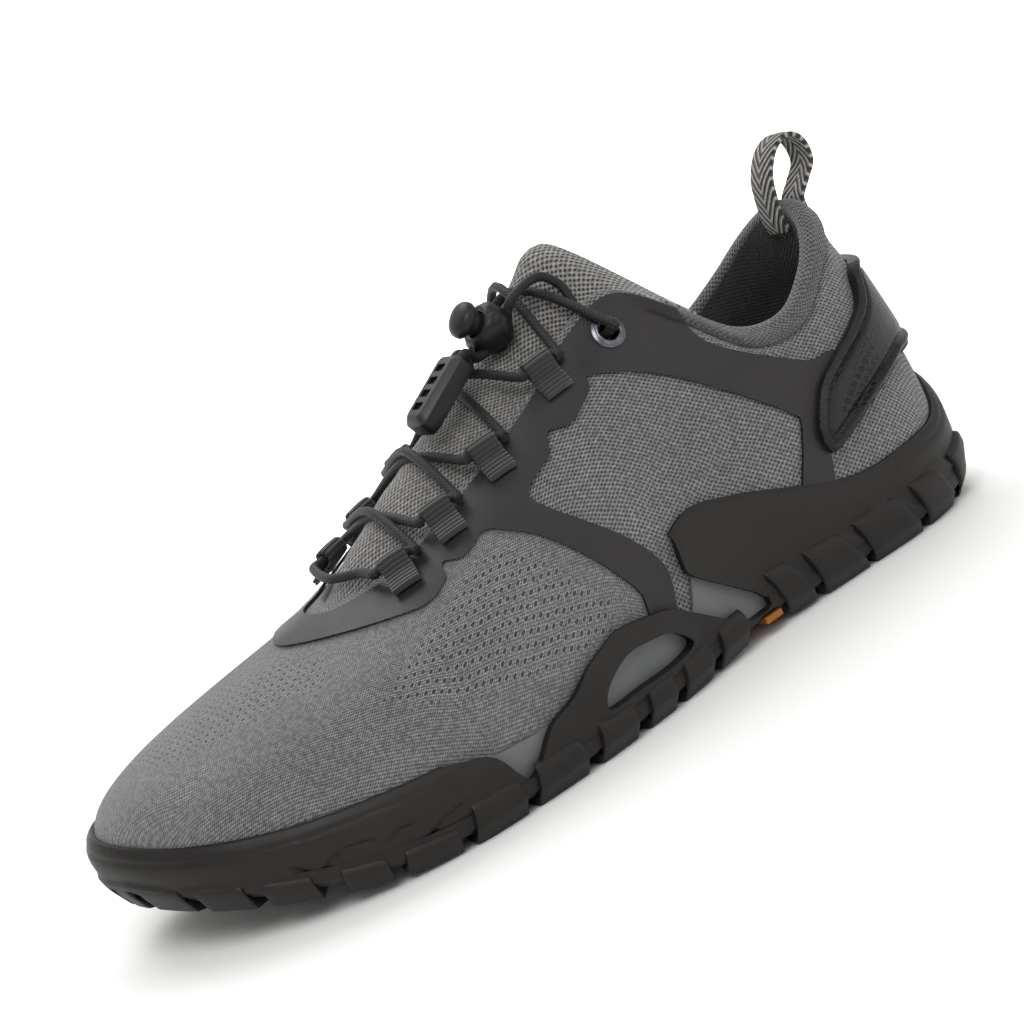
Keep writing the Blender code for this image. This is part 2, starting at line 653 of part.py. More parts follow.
def sole_span(share):
    """Lateral and medial edges of the last's outline at a share of the length."""
    spans = []
    for first, last in ((0, TOE_STATION), (TOE_STATION, STATIONS)):
        steps = 200
        rows = [smooth_row(SECTIONS, first + (last - first) * k / steps) for k in range(steps + 1)]
        near = min(rows, key=lambda row: abs(row[0] - share))
        spans.append(near[1] * local_width(near[0]))
    return spans


def inner_lug(centre, turn):
    """Points and faces of one lug under the foot, turned as half of a chevron."""
    share = (ORIGIN_FROM_HEEL - centre.x) / LENGTH
    points = []
    for height, size in ((0.0, INNER_LUG_TAPER), (LUG_DEPTH + LUG_ROOT, 1.0)):
        for x, y in ((-1, -1), (1, -1), (1, 1), (-1, 1)):
            along = x * INNER_LUG_LENGTH / 2 * size
            across = y * INNER_LUG_WIDTH / 2 * size
            x_out = along * math.cos(turn) - across * math.sin(turn)
            y_out = along * math.sin(turn) + across * math.cos(turn)
            points.append(centre + Vector((x_out, y_out, height + floor_rise(share - x_out / LENGTH))))
    return points, [(0, 1, 2, 3), (4, 5, 6, 7)] + strip_faces(0, 4, 4)


def inner_lug_row(share):
    """The lugs of one row between the edge lugs, as many as the sole's width takes."""
    lateral, medial = sole_span(share)
    usable = medial - lateral - 2 * INNER_LUG_MARGIN
    count = max(1, int(usable / INNER_LUG_PITCH))
    pieces = []
    for k in range(count):
        offset = (k - (count - 1) / 2) * usable / count
        turn = math.copysign(INNER_LUG_TURN, offset) if offset else 0.0
        pieces.append(inner_lug(place(share, (lateral + medial) / 2 + offset, 0.0), turn))
    return pieces


def joined_guide(name, pieces):
    """Several pieces that don't touch each other, as one guide."""
    points, faces = [], []
    for piece_points, piece_faces in pieces:
        start = len(points)
        points += piece_points
        faces += [tuple(start + k for k in face) for face in piece_faces]
    return solid(name, points, faces)


def edge_lugs():
    """The lugs round the edge of the sole, the medial ones mirroring the lateral ones."""
    spans = list(EDGE_LUGS) + [(STATIONS - b, STATIONS - a) for a, b in EDGE_LUGS]
    return joined_guide("edge_lugs", [edge_lug(a, b) for a, b in spans + [HEEL_LUG, TOE_LUG]])


def inner_lugs():
    """The lugs under the foot."""
    return joined_guide("inner_lugs", [piece for share in INNER_LUG_ROWS for piece in inner_lug_row(share)])


def insert_block(name, room):
    """The strip under the arch, or with room round it the pocket that it lies in."""
    points = []
    for height in (-INSERT_BELOW - room, INSERT_INSIDE + room):
        for share, step in ((INSERT_SHARES[0], -room), (INSERT_SHARES[1], room)):
            lateral, medial = sole_span(share)
            ends = (lateral - SOLE_EDGE_LOW, medial + SOLE_EDGE_LOW)
            if share == INSERT_SHARES[1]:
                ends = ends[::-1]
            for across in ends:
                reach = math.copysign(room * POCKET_RUN_OUT, across)
                point = place(share, across + reach, LUG_DEPTH + height + floor_rise(share))
                points.append(point - Vector((step, 0, 0)))
    faces = [(0, 1, 2, 3), (4, 5, 6, 7)] + strip_faces(0, 4, 4)
    return solid(name, points, faces, ORANGE)


def midsole():
    """The grey foam plate with its thin side, which shows in the rubber's windows."""
    bottom = LUG_DEPTH + OUTSOLE_PLATE + GAP
    tops = [rand_rise(c) for c in COLUMNS]
    loops = [
        [foot_point(c, FILM_OUTSIDE - GAP, bottom) for c in COLUMNS],
        [skin(c, 0.0, FILM_OUTSIDE) for c in COLUMNS],
    ]
    for t in RAND_ROWS:
        loops.append([skin(c, top * t, FILM_OUTSIDE) for c, top in zip(COLUMNS, tops)])
    for t in (*reversed(RAND_ROWS), 0.0):
        loops.append([skin(c, top * t, GAP) for c, top in zip(COLUMNS, tops)])
    loops.append([foot_point(c, 0.0, SEAT - GAP) for c in COLUMNS])
    body = ring_solid("midsole", loops, FOAM, floors=True)
    boolean(body, prism("midsole_trim", MIDSOLE_TRIM, BALL_WIDTH), "DIFFERENCE")
    return body


def insole():
    """The flat footbed inside the upper."""
    inset = -(UPPER_WALL + 3 * GAP)
    loops = [
        [foot_point(c, inset, SEAT + height) for c in COLUMNS]
        for height in (0.0, INSOLE_THICKNESS)
    ]
    return ring_solid("insole", loops, LINER, floors=True)


def overlay():
    """The welded film: toe side of the throat, eyestays, side bands and the band to the heel."""
    loops = [[skin(c, rise, FILM_OUTSIDE) for c in COLUMNS] for rise in FILM_ROWS]
    loops += [[skin(c, rise, GAP) for c in COLUMNS] for rise in reversed(FILM_ROWS)]
    body = ring_solid("overlay", loops, FILM)
    boolean(body, prism("film_outline", FILM_OUTLINE, BALL_WIDTH), "INTERSECT")
    for side in (-1, 1):
        boolean(body, eyelet_cutter(f"film_hole_{side}", side), "DIFFERENCE")
    return body


def heel_clip():
    """The moulded piece that wraps the back of the heel."""
    near = [c for c in COLUMNS if c <= CLIP_REACH]
    stations = [-c for c in reversed(near) if c] + near
    outer, inner = RAND_OUTSIDE, RAND_INSIDE
    rows = [[skin(s, rise, outer) for s in stations] for rise in CLIP_ROWS]
    under = [[skin(s, rise, inner) for s in stations] for rise in CLIP_ROWS]
    body = patch_solid("heel_clip", rows, under, MOULDED)
    boolean(body, prism("clip_outline", CLIP_OUTLINE, BALL_WIDTH), "INTERSECT")
    return body


def tongue_section(row):
    """The tongue's upper face across one row, from under the lateral edge to the medial one."""
    lateral, medial, *ridge = row
    ends = []
    for station in (lateral, medial):
        beside_lace = ease(1 - abs(from_heel(station) - LACE_ROOM_STATION) / LACE_ROOM_REACH)
        room = TONGUE_CLEARANCE + LACE_ROOM * beside_lace
        ends.append([skin(station, rise, -wall(station, rise) - room) for rise in TONGUE_RISES])
    guide = ends[0] + [free_point(*ridge)] + ends[1][::-1]
    return smooth_path(guide, TONGUE_STEPS)


def tongue():
    """The mesh tongue, which lies under both eyestays and rises above the collar."""
    rows = [tongue_section(row) for row in TONGUE_ROWS]
    height, width = len(rows), len(rows[0])
    faces = []
    for k in range(height - 1):
        faces += strip_faces(k * width, (k + 1) * width, width, closed=False)
    under = []
    for k in range(height):
        line = []
        for j in range(width):
            ahead = rows[min(k + 1, height - 1)][j] - rows[max(k - 1, 0)][j]
            side = rows[k][min(j + 1, width - 1)] - rows[k][max(j - 1, 0)]
            normal = side.cross(ahead).normalized()
            line.append(rows[k][j] - normal * TONGUE_THICKNESS * (1 if normal.z > 0 else -1))
        under.append(line)
    return patch_solid("tongue", rows, under, MESH)


def tongue_ridge(share):
    """Height of the tongue's ridge at a share of the length."""
    rows = sorted((row[2], row[4] * INSTEP_HEIGHT) for row in TONGUE_ROWS)
    for (a, low), (b, high) in zip(rows, rows[1:]):
        if a <= share <= b:
            return low + (high - low) * (share - a) / (b - a)
    return rows[-1][1] if share > rows[-1][0] else rows[0][1]


def side_station(station, side):
    """The station as it is on the lateral side (-1), or mirrored to the medial side (1)."""
    return station if side < 0 else STATIONS - station


def surface_frame(station, rise, offset):
    """Origin, direction to the opening, direction along the shoe and normal on the skin."""
    origin = skin(station, rise, offset)
    normal = skin_normal(station, rise)
    inward = (skin(station, 1.0, offset) - origin).normalized()
    along = normal.cross(inward).normalized()
    return origin, inward, along, inward.cross(along)


def eyelet_place(side):
    """Centre of an eyelet on the skin, and its axis."""
    station = side_station(EYELET_STATION, side)
    return skin(station, EYELET_RISE), skin_normal(station, EYELET_RISE)


def turned(name, origin, axis, profile, sides, finish):
    """A closed profile of radius and height, turned round an axis."""
    across = axis.orthogonal().normalized()
    other = axis.cross(across)
    count = len(profile)
    points = []
    for k in range(sides):
        angle = 2 * math.pi * k / sides
        ray = across * math.cos(angle) + other * math.sin(angle)
        points += [origin + ray * radius + axis * height for radius, height in profile]
    faces = []
    for k in range(sides):
        faces += strip_faces(k * count, (k + 1) % sides * count, count)
    return shade_smooth(solid(name, points, faces, finish))


def turned_closed(name, origin, axis, profile, sides, finish=None):
    """A solid turned round an axis, whose profile starts and ends on the axis."""
    across = axis.orthogonal().normalized()
    other = axis.cross(across)
    rim = profile[1:-1]
    points = [origin + axis * profile[0][1]]
    for radius, height in rim:
        for k in range(sides):
            angle = 2 * math.pi * k / sides
            ray = across * math.cos(angle) + other * math.sin(angle)
            points.append(origin + ray * radius + axis * height)
    points.append(origin + axis * profile[-1][1])
    faces = [(0, 1 + (k + 1) % sides, 1 + k) for k in range(sides)]
    for ring in range(len(rim) - 1):
        faces += strip_faces(1 + ring * sides, 1 + (ring + 1) * sides, sides)
    top, last = len(points) - 1, 1 + (len(rim) - 1) * sides
    faces += [(top, last + k, last + (k + 1) % sides) for k in range(sides)]
    return shade_smooth(solid(name, points, faces, finish))


def eyelet_cutter(name, side):
    """A round cutter through upper and film at an eyelet."""
    centre, axis = eyelet_place(side)
    radius = EYELET_BARREL + GAP
    reach = COLLAR_WALL + UPPER_WALL
    profile = ((0.0, -reach), (radius, -reach), (radius, reach), (0.0, reach))
    cutter = turned_closed(name, centre, axis, profile, EYELET_SIDES)
    cutter.hide_render = True
    cutter.display_type = "WIRE"
    return cutter


def eyelet(name, side):
    """A metal eyelet with an outer and an inner flange."""
    centre, axis = eyelet_place(side)
    inner = -wall(side_station(EYELET_STATION, side), EYELET_RISE) - EYELET_SEAT
    outer = RAND_INSIDE
    profile = (
        (EYELET_BORE, inner - EYELET_LIP), (EYELET_INNER_FLANGE, inner - EYELET_LIP),
        (EYELET_INNER_FLANGE, inner), (EYELET_BARREL, inner), (EYELET_BARREL, outer),
        (EYELET_FLANGE, outer), (EYELET_FLANGE, outer + EYELET_LIP), (EYELET_BORE, outer + EYELET_LIP),
    )
    return turned(name, centre, axis, profile, EYELET_SIDES, METAL)


def loop_frame(k, side):
    """Where one webbing loop starts on the film, and its directions."""
    return surface_frame(side_station(LOOP_STATIONS[k], side), LOOP_RISE, FILM_OUTSIDE + LOOP_SEAT)


def tunnel_centre(k, side):
    """Middle of the hole that a webbing loop leaves for the lace, and the hole's direction."""
    origin, inward, along, normal = loop_frame(k, side)
    radius = TUNNEL + WEBBING
    return origin + inward * (LOOP_LENGTH - radius) + normal * radius, along


def webbing_loop(name, k, side):
    """A folded piece of webbing, sewn down at its outer end, with the lace's hole in its fold."""
    origin, inward, along, normal = loop_frame(k, side)
    radius = TUNNEL + WEBBING
    hub = LOOP_LENGTH - radius
    arc = [math.radians(a) for a in range(-90, 121, 30)]
    outer = [(0.0, 0.0)]
    outer += [(hub + radius * math.cos(a), radius + radius * math.sin(a)) for a in arc]
    outer += [(hub * along_hub, WEBBING * layers) for along_hub, layers in FOLD_TOP]
    hole = [(hub * along_hub, WEBBING * layers) for along_hub, layers in HOLE_FLOOR]
    hole += [(hub + TUNNEL * math.cos(a), radius + TUNNEL * math.sin(a)) for a in arc]
    hole += [(hub * along_hub, WEBBING * layers) for along_hub, layers in HOLE_ROOF]
    outer.insert(1, (hub * FOLD_TOP[0][0], 0.0))
    ends = []
    for half in (-0.5, 0.5):
        for ring in (outer, hole):
            ends.append([origin + inward * s + normal * h + along * LOOP_WIDTH * half for s, h in ring])
    return web_solid(name, ends)


def web_solid(name, ends):
    """A solid between two ring-shaped ends, each an outer and an inner loop of equal length."""
    count = len(ends[0])
    points = [p for ring in ends for p in ring]
    faces = strip_faces(0, count, count) + strip_faces(2 * count, 3 * count, count)
    faces += strip_faces(0, 2 * count, count) + strip_faces(count, 3 * count, count)
    return solid(name, points, faces, WEB)


def through_loop(k, side, upward):
    """Points of the lace through one loop, from its toe side up, or down."""
    centre, along = tunnel_centre(k, side)
    if along.x < 0:
        along = -along
    if not upward:
        along = -along
    return [centre + along * LOOP_WIDTH / 2 * t for t in LACE_IN_LOOP]


def crossing(start, end, lift):
    """Middle point of a lace run from one side to the other, above the tongue's ridge."""
    middle = (start + end) / 2
    share = (ORIGIN_FROM_HEEL - middle.x) / LENGTH
    middle.z = tongue_ridge(share) + LACE_RADIUS + TONGUE_TO_LACE + lift
    return middle


def lace():
    """The elastic lace, from eyelet to eyelet through all the loops, as one tube."""
    runs = [through_loop(3, 1, False), through_loop(2, -1, False), through_loop(1, 1, False)]
    runs += [through_loop(0, -1, False), through_loop(0, 1, True), through_loop(1, -1, True)]
    runs += [through_loop(2, 1, True), through_loop(3, -1, True)]
    ends = []
    for side in (-1, 1):
        centre, axis = eyelet_place(side)
        ends.append([centre + axis * h for h in (-GAP, RAND_OUTSIDE + GAP, EYELET_EXIT)])
    path = list(ends[0])
    lifts = [TOP_LIFT, 0.0, 0.0, LACE_LIFT, None, 0.0, LACE_LIFT, LACE_LIFT]
    for run, lift in zip(runs, lifts):
        if lift is None:
            path += [free_point(*point) for point in FRONT_BAR]
        else:
            path.append(crossing(path[-1], run[0], lift))
        path += run
    path.append(crossing(path[-1], ends[1][-1], LACE_LIFT + TOP_LIFT))
    path += ends[1][::-1]
    return tube("lace", smooth_path(path, 2), LACE_RADIUS, LACE_SIDES, CORD)


def cord_lock():
    """The round body of the cord lock, with the bore that its button slides in."""
    bore = BUTTON_STEM + GAP
    floor = -LOCK_FRONT * BORE_DEPTH
    profile = [(0.0, -LOCK_BACK)]
    profile += [(LOCK_RADIUS * wide, LOCK_BACK * high) for wide, high in LOCK_BACK_LINE]
    profile += [(LOCK_RADIUS * wide, LOCK_FRONT * high) for wide, high in LOCK_FRONT_LINE]
    profile += [(bore, LOCK_FRONT), (bore, floor), (0.0, floor)]
    centre = free_point(*LOCK_CENTRE)
    return turned_closed("cord_lock_body", centre, LOCK_AXIS, profile, LOCK_SIDES, MOULDED)


def lock_button():
    """The sprung button, whose stem slides in the lock's bore."""
    rim = LOCK_FRONT + BUTTON_TRAVEL + GAP
    stem_end = -LOCK_FRONT * BORE_DEPTH + BUTTON_TRAVEL + GAP
    top = rim + BUTTON_CAP
    profile = (
        (0.0, stem_end), (BUTTON_STEM, stem_end), (BUTTON_STEM, rim), (BUTTON_RADIUS, rim),
        (BUTTON_RADIUS, rim + BUTTON_CAP * 0.45), (BUTTON_RADIUS * 0.72, top - BUTTON_CAP * 0.12),
        (0.0, top),
    )
    centre = free_point(*LOCK_CENTRE)
    return turned_closed("cord_lock_button", centre, LOCK_AXIS, profile, LOCK_SIDES, MOULDED)


def end_clip_frame():
    """Centre of the cord's end clip and its directions along, across and out."""
    slope = Vector((-math.cos(END_CLIP_SLOPE), 0, -math.sin(END_CLIP_SLOPE)))
    across = Vector((0, -1, 0))
    out = across.cross(slope)
    return free_point(*END_CLIP_CENTRE), slope, across, out if out.z > 0 else -out


def end_clip():
    """The clip that holds both ends of the cord, with a bevelled outer face."""
    centre, slope, across, out = end_clip_frame()
    half_length, half_width = END_CLIP_LENGTH / 2, END_CLIP_WIDTH / 2
    points = []
    for height, wide, long in CLIP_LEVELS:
        for x, y in CLIP_CORNERS:
            points.append(
                centre + slope * half_length * long * x + across * half_width * wide * y
                + out * END_CLIP_HEIGHT * height
            )
    count = len(CLIP_CORNERS)
    faces = [tuple(range(count)), tuple(range(len(points) - count, len(points)))]
    for k in range(len(CLIP_LEVELS) - 1):
        faces += strip_faces(k * count, (k + 1) * count, count)
    return solid("cord_end_clip", points, faces, MOULDED)


def cord(name, points, steps):
    """A round cord as a bevelled curve through points."""
    path = smooth_path(points, steps)
    curve = bpy.data.curves.new(name, "CURVE")
    curve.dimensions = "3D"
    curve.bevel_depth = LACE_RADIUS
    curve.bevel_resolution = 2
    curve.use_fill_caps = True
    spline = curve.splines.new("POLY")
    spline.points.add(len(path) - 1)
    for item, point in zip(spline.points, path):
        item.co = (*point, 1.0)
    result = bpy.data.objects.new(name, curve)
    curve.materials.append(CORD)
    bpy.context.scene.collection.objects.link(result)
    return result


def lace_ends():
    """The two ends of the lace, from under the eyestays to the lock and on to the end clip."""
    centre = free_point(*LOCK_CENTRE)
    clip, slope, _, _ = end_clip_frame()
    for name, side in (("lateral", -1), ("medial", 1)):
        station, free = LACE_ENDS[name]
        start = skin(station, 1.0, -wall(station, 1.0) - LACE_RADIUS - 2 * GAP)
        cord(f"lace_end_{name}", [start] + [free_point(*point) for point in free], 3)
        gather = Vector((0, side * (LACE_RADIUS + GAP), 0))
        leave = centre + CORD_LEAVES * (LOCK_BACK + LOCK_TO_CORD) + gather
        arrive = clip - slope * (END_CLIP_LENGTH / 2 + CLIP_TO_CORD) + gather
        bend = (leave + arrive) / 2 + Vector((0, 0, CORD_BEND))
        cord(f"lace_tail_{name}", [leave, bend, arrive], 4)


def pull_loop():
    """The woven pull loop, sewn to the back of the heel and standing above the collar."""
    half = STRAP_THICKNESS / 2
    path = [skin(0.0, rise, GAP + half) for rise in STRAP_OUTSIDE]
    path += [place(share, 0.0, height * HEEL_HEIGHT) for share, height in STRAP_LOOP]
    path += [skin(0.0, rise, -wall(0.0, rise) - STRAP_SEAT - half) for rise in STRAP_INSIDE]
    path = smooth_path(path, 2)
    points = []
    for k, point in enumerate(path):
        ahead = (path[min(k + 1, len(path) - 1)] - path[max(k - 1, 0)]).normalized()
        out = Vector((0, 1, 0)).cross(ahead)
        for y, h in ((-1, -1), (1, -1), (1, 1), (-1, 1)):
            points.append(point + Vector((0, y * STRAP_WIDTH / 2, 0)) + out * h * half)
    faces = [(0, 1, 2, 3), tuple(range(len(points) - 4, len(points)))]
    for k in range(len(path) - 1):
        faces += strip_faces(k * 4, (k + 1) * 4, 4)
    return solid("pull_loop", points, faces, STRAP)


def build():
    """Every sub-part of the shoe."""
    clear_scene()
    upper()
    outsole()
    insert_block("arch_insert", 0.0)
    midsole()
    insole()
    overlay()
    heel_clip()
    tongue()
    for side, word in ((-1, "lateral"), (1, "medial")):
        eyelet(f"eyelet_{word}", side)
        for k in range(len(LOOP_STATIONS)):
            webbing_loop(f"loop_{word}_{k + 1}", k, side)
    lace()
    lace_ends()
    cord_lock()
    lock_button()
    end_clip()
    pull_loop()


build()
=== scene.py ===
# %% [markdown]
# # A barefoot trail shoe
# The shoe is a thin knit sock on a lugged rubber tray, closed by an elastic lace with a sprung cord
# lock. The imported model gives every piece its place. This lesson dresses it: each piece is laid on
# the same last as the solids, but with many more rows, and gets the weave, gloss or grain of the
# real thing.

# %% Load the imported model
import math
from functools import lru_cache

import bmesh
import bpy
from mathutils import Matrix, Vector


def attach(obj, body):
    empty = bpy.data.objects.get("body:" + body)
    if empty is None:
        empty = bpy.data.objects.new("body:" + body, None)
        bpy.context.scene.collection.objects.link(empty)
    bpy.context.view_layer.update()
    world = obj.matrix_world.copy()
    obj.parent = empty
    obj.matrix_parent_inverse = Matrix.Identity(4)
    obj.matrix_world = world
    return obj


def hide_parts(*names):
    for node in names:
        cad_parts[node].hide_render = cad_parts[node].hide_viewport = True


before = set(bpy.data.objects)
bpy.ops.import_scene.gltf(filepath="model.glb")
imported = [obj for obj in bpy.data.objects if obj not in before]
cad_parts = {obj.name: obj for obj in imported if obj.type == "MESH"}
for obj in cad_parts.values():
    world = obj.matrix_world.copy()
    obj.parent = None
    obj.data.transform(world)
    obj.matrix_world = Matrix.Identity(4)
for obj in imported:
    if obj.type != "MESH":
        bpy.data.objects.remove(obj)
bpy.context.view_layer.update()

# %% [markdown]
# ## Camera
# The photo shows the outer side from a little above, with the shoe tipped toe down in the picture.
# Here the shoe stands flat, so the camera is rolled instead. A long lens keeps the shoe's
# proportions.

# %% Camera
AZIMUTH, ELEVATION, ROLL = (math.radians(angle) for angle in (-28.2, 13.0, 23.4))
AIM = Vector((-0.1072, 0.0, 0.0593))
VIEW_DISTANCE = 0.70
PIXELS_PER_MM = 3.60
SENSOR = 36.0

backward = Vector((
    math.sin(AZIMUTH) * math.cos(ELEVATION),
    -math.cos(AZIMUTH) * math.cos(ELEVATION),
    math.sin(ELEVATION),
))
level = Vector((math.cos(AZIMUTH), math.sin(AZIMUTH), 0.0))
upright = backward.cross(level)
side = level * math.cos(ROLL) - upright * math.sin(ROLL)
top = level * math.sin(ROLL) + upright * math.cos(ROLL)
camera = bpy.data.objects.new("camera", bpy.data.cameras.new("camera"))
camera.data.sensor_width = SENSOR
camera.data.lens = PIXELS_PER_MM * VIEW_DISTANCE * 1000 / 1024 * SENSOR
camera.data.clip_end = 20.0
turn = Matrix((side, top, backward)).transposed().to_4x4()
camera.matrix_world = Matrix.Translation(AIM + backward * VIEW_DISTANCE) @ turn
bpy.context.scene.collection.objects.link(camera)
bpy.context.scene.camera = camera
print("lens", round(camera.data.lens, 1), "mm")

# %% [markdown]
# ## The last
# A shoe is made round a last, a solid foot form. Here the last is a table: one row for each of 30
# stations round the foot, from the heel over the outer side to the toe and back. Each row gives the
# foot of a curve on the sole and its head at the opening. The solids use the same numbers, so
# pieces fit without any adjusting.

# %% Sizes of the shoe, in metres
LENGTH = 0.285
BALL_WIDTH = 0.099
HEEL_WIDTH = 0.066
INSTEP_HEIGHT = 0.106
HEEL_HEIGHT = 0.099
ORIGIN_FROM_HEEL = 0.035
LUG_DEPTH = 0.0034
OUTSOLE_PLATE = 0.0024
MIDSOLE_PLATE = 0.0028
INSOLE_THICKNESS = 0.003
KNIT_WALL = 0.002
COLLAR_WALL = 0.006
TONGUE_THICKNESS = 0.0025
GAP = 0.0003
SEAT = LUG_DEPTH + OUTSOLE_PLATE + MIDSOLE_PLATE + 2 * GAP
FILM_OUTSIDE = 0.0011
RUBBER_INSIDE = 0.0014
RUBBER_OUTSIDE = 0.0034
RUBBER_FOOT = 0.004
TOE_SPRING = 0.016
HEEL_BEVEL = 0.0064
ARCH_RISE = 0.0022
# places along the shoe, as shares of its length
WIDENS_FROM, WIDENS_OVER = 0.20, 0.35
TOE_SPRING_FROM, TOE_SPRING_OVER = 0.72, 0.28
HEEL_BEVEL_TO = 0.07
ARCH_AT, ARCH_HALF = 0.354, 0.126
HEAD_RISES_FROM, HEAD_RISES_OVER = 0.12, 0.22
# the padded collar: how many stations from the heel and how high up it fades out
COLLAR_STATIONS, COLLAR_FADE = 4.6, 1.6
COLLAR_FROM, COLLAR_OVER = 0.66, 0.22

# base along, base across, top along, top across, top height, lean, rise, reach, drop, rubber height
STATIONS = (
    (0.011, 0.000, 0.053, 0.000, 1.000, 0.025, 0.32, 0.070, 0.28, 0.377),
    (0.019, -0.197, 0.061, -0.167, 0.980, 0.030, 0.31, 0.060, 0.27, 0.340),
    (0.049, -0.356, 0.084, -0.295, 0.924, 0.035, 0.29, 0.050, 0.26, 0.259),
    (0.112, -0.455, 0.123, -0.386, 0.838, 0.045, 0.26, 0.035, 0.23, 0.245),
    (0.189, -0.477, 0.179, -0.447, 0.753, 0.050, 0.25, 0.030, 0.23, 0.250),
    (0.274, -0.466, 0.242, -0.453, 0.766, 0.050, 0.25, 0.050, 0.23, 0.316),
    (0.354, -0.433, 0.302, -0.371, 0.901, 0.050, 0.26, 0.090, 0.22, 0.387),
    (0.435, -0.419, 0.354, -0.276, 1.000, 0.060, 0.27, 0.140, 0.18, 0.425),
    (0.516, -0.433, 0.414, -0.245, 0.952, 0.065, 0.26, 0.170, 0.14, 0.330),
    (0.593, -0.460, 0.481, -0.235, 0.850, 0.065, 0.24, 0.200, 0.12, 0.274),
    (0.670, -0.470, 0.547, -0.230, 0.770, 0.060, 0.22, 0.230, 0.11, 0.231),
    (0.747, -0.460, 0.611, -0.213, 0.695, 0.055, 0.20, 0.285, 0.11, 0.222),
    (0.828, -0.409, 0.667, -0.158, 0.626, 0.055, 0.20, 0.375, 0.12, 0.236),
    (0.902, -0.298, 0.700, -0.071, 0.599, 0.065, 0.21, 0.485, 0.14, 0.257),
    (0.961, -0.131, 0.712, -0.010, 0.590, 0.080, 0.22, 0.565, 0.15, 0.292),
    (0.991, 0.091, 0.714, 0.045, 0.590, 0.085, 0.23, 0.625, 0.16, 0.325),
    (0.979, 0.273, 0.707, 0.101, 0.590, 0.085, 0.23, 0.565, 0.17, 0.330),
    (0.930, 0.389, 0.688, 0.152, 0.594, 0.070, 0.22, 0.425, 0.17, 0.302),
    (0.853, 0.455, 0.654, 0.187, 0.627, 0.055, 0.21, 0.315, 0.16, 0.264),
    (0.765, 0.470, 0.604, 0.207, 0.679, 0.050, 0.21, 0.255, 0.15, 0.236),
    (0.681, 0.449, 0.544, 0.217, 0.745, 0.055, 0.22, 0.210, 0.14, 0.231),
    (0.596, 0.394, 0.484, 0.229, 0.816, 0.065, 0.25, 0.180, 0.14, 0.274),
    (0.516, 0.331, 0.421, 0.248, 0.896, 0.070, 0.27, 0.140, 0.15, 0.330),
    (0.435, 0.303, 0.361, 0.292, 0.958, 0.075, 0.29, 0.100, 0.18, 0.425),
    (0.354, 0.320, 0.305, 0.362, 0.891, 0.075, 0.28, 0.060, 0.22, 0.387),
    (0.274, 0.380, 0.244, 0.438, 0.776, 0.065, 0.26, 0.020, 0.23, 0.316),
    (0.189, 0.432, 0.179, 0.439, 0.758, 0.055, 0.25, 0.020, 0.23, 0.250),
    (0.112, 0.424, 0.123, 0.386, 0.838, 0.045, 0.26, 0.030, 0.23, 0.245),
    (0.049, 0.341, 0.084, 0.295, 0.924, 0.035, 0.29, 0.050, 0.26, 0.259),
    (0.019, 0.189, 0.061, 0.167, 0.980, 0.030, 0.31, 0.060, 0.27, 0.340),
)
AROUND = len(STATIONS)


# %% Points on the last
def ease(t):
    """0 below 0, 1 above 1, and smooth between."""
    t = min(1.0, max(0.0, t))
    return t * t * (3 - 2 * t)


def hump(value, centre, half):
    """1 at a centre, and smoothly down to 0 at half a width from it."""
    return ease(1 - abs(value - centre) / half)


def bell(away, width):
    """A bell curve: 1 at no distance, fading with distance."""
    return math.exp(-((away / width) ** 2))


def smooth_row(rows, spot, closed=True):
    """The columns of a table at a spot between its rows, on a Catmull-Rom curve."""
    low = math.floor(spot)
    t = spot - low
    if closed:
        picked = [rows[(low + k) % len(rows)] for k in (-1, 0, 1, 2)]
    else:
        picked = [rows[min(len(rows) - 1, max(0, low + k))] for k in (-1, 0, 1, 2)]
    return [
        0.5 * (2 * q + (r - p) * t + (2 * p - 5 * q + 4 * r - s) * t**2 + (3 * q - p - 3 * r + s) * t**3)
        for p, q, r, s in zip(*picked)
    ]


def smooth_path(points, steps):
    """A smooth chain through points, with a number of steps between each two."""
    return [Vector(smooth_row(points, k / steps, False)) for k in range((len(points) - 1) * steps + 1)]


def spot(share, across, height):
    """A point from a share of the length, an across distance and a height."""
    return Vector((ORIGIN_FROM_HEEL - share * LENGTH, across, height))


def share_of(point):
    """How far along the shoe a point lies, from 0 at the heel to 1 at the toe."""
    return (ORIGIN_FROM_HEEL - point.x) / LENGTH


def seen(point):
    """A point's shares of the length and of the instep's height, as seen from the side."""
    return share_of(point), point.z / INSTEP_HEIGHT


def on_side(station, hand):
    """A lateral station on its own side (-1), or the medial one that mirrors it (1)."""
    return station if hand < 0 else AROUND - station


def width_at(share):
    """Width of the last, between heel and ball."""
    return HEEL_WIDTH + (BALL_WIDTH - HEEL_WIDTH) * ease((share - WIDENS_FROM) / WIDENS_OVER)


def spring_at(share):
    """How far the sole lies above the floor: toe spring, heel bevel and arch."""
    toe = max(0.0, share - TOE_SPRING_FROM) / TOE_SPRING_OVER
    heel = max(0.0, HEEL_BEVEL_TO - share) / HEEL_BEVEL_TO
    arch = hump(share, ARCH_AT, ARCH_HALF)
    return TOE_SPRING * toe**2 + HEEL_BEVEL * heel**2 + ARCH_RISE * arch


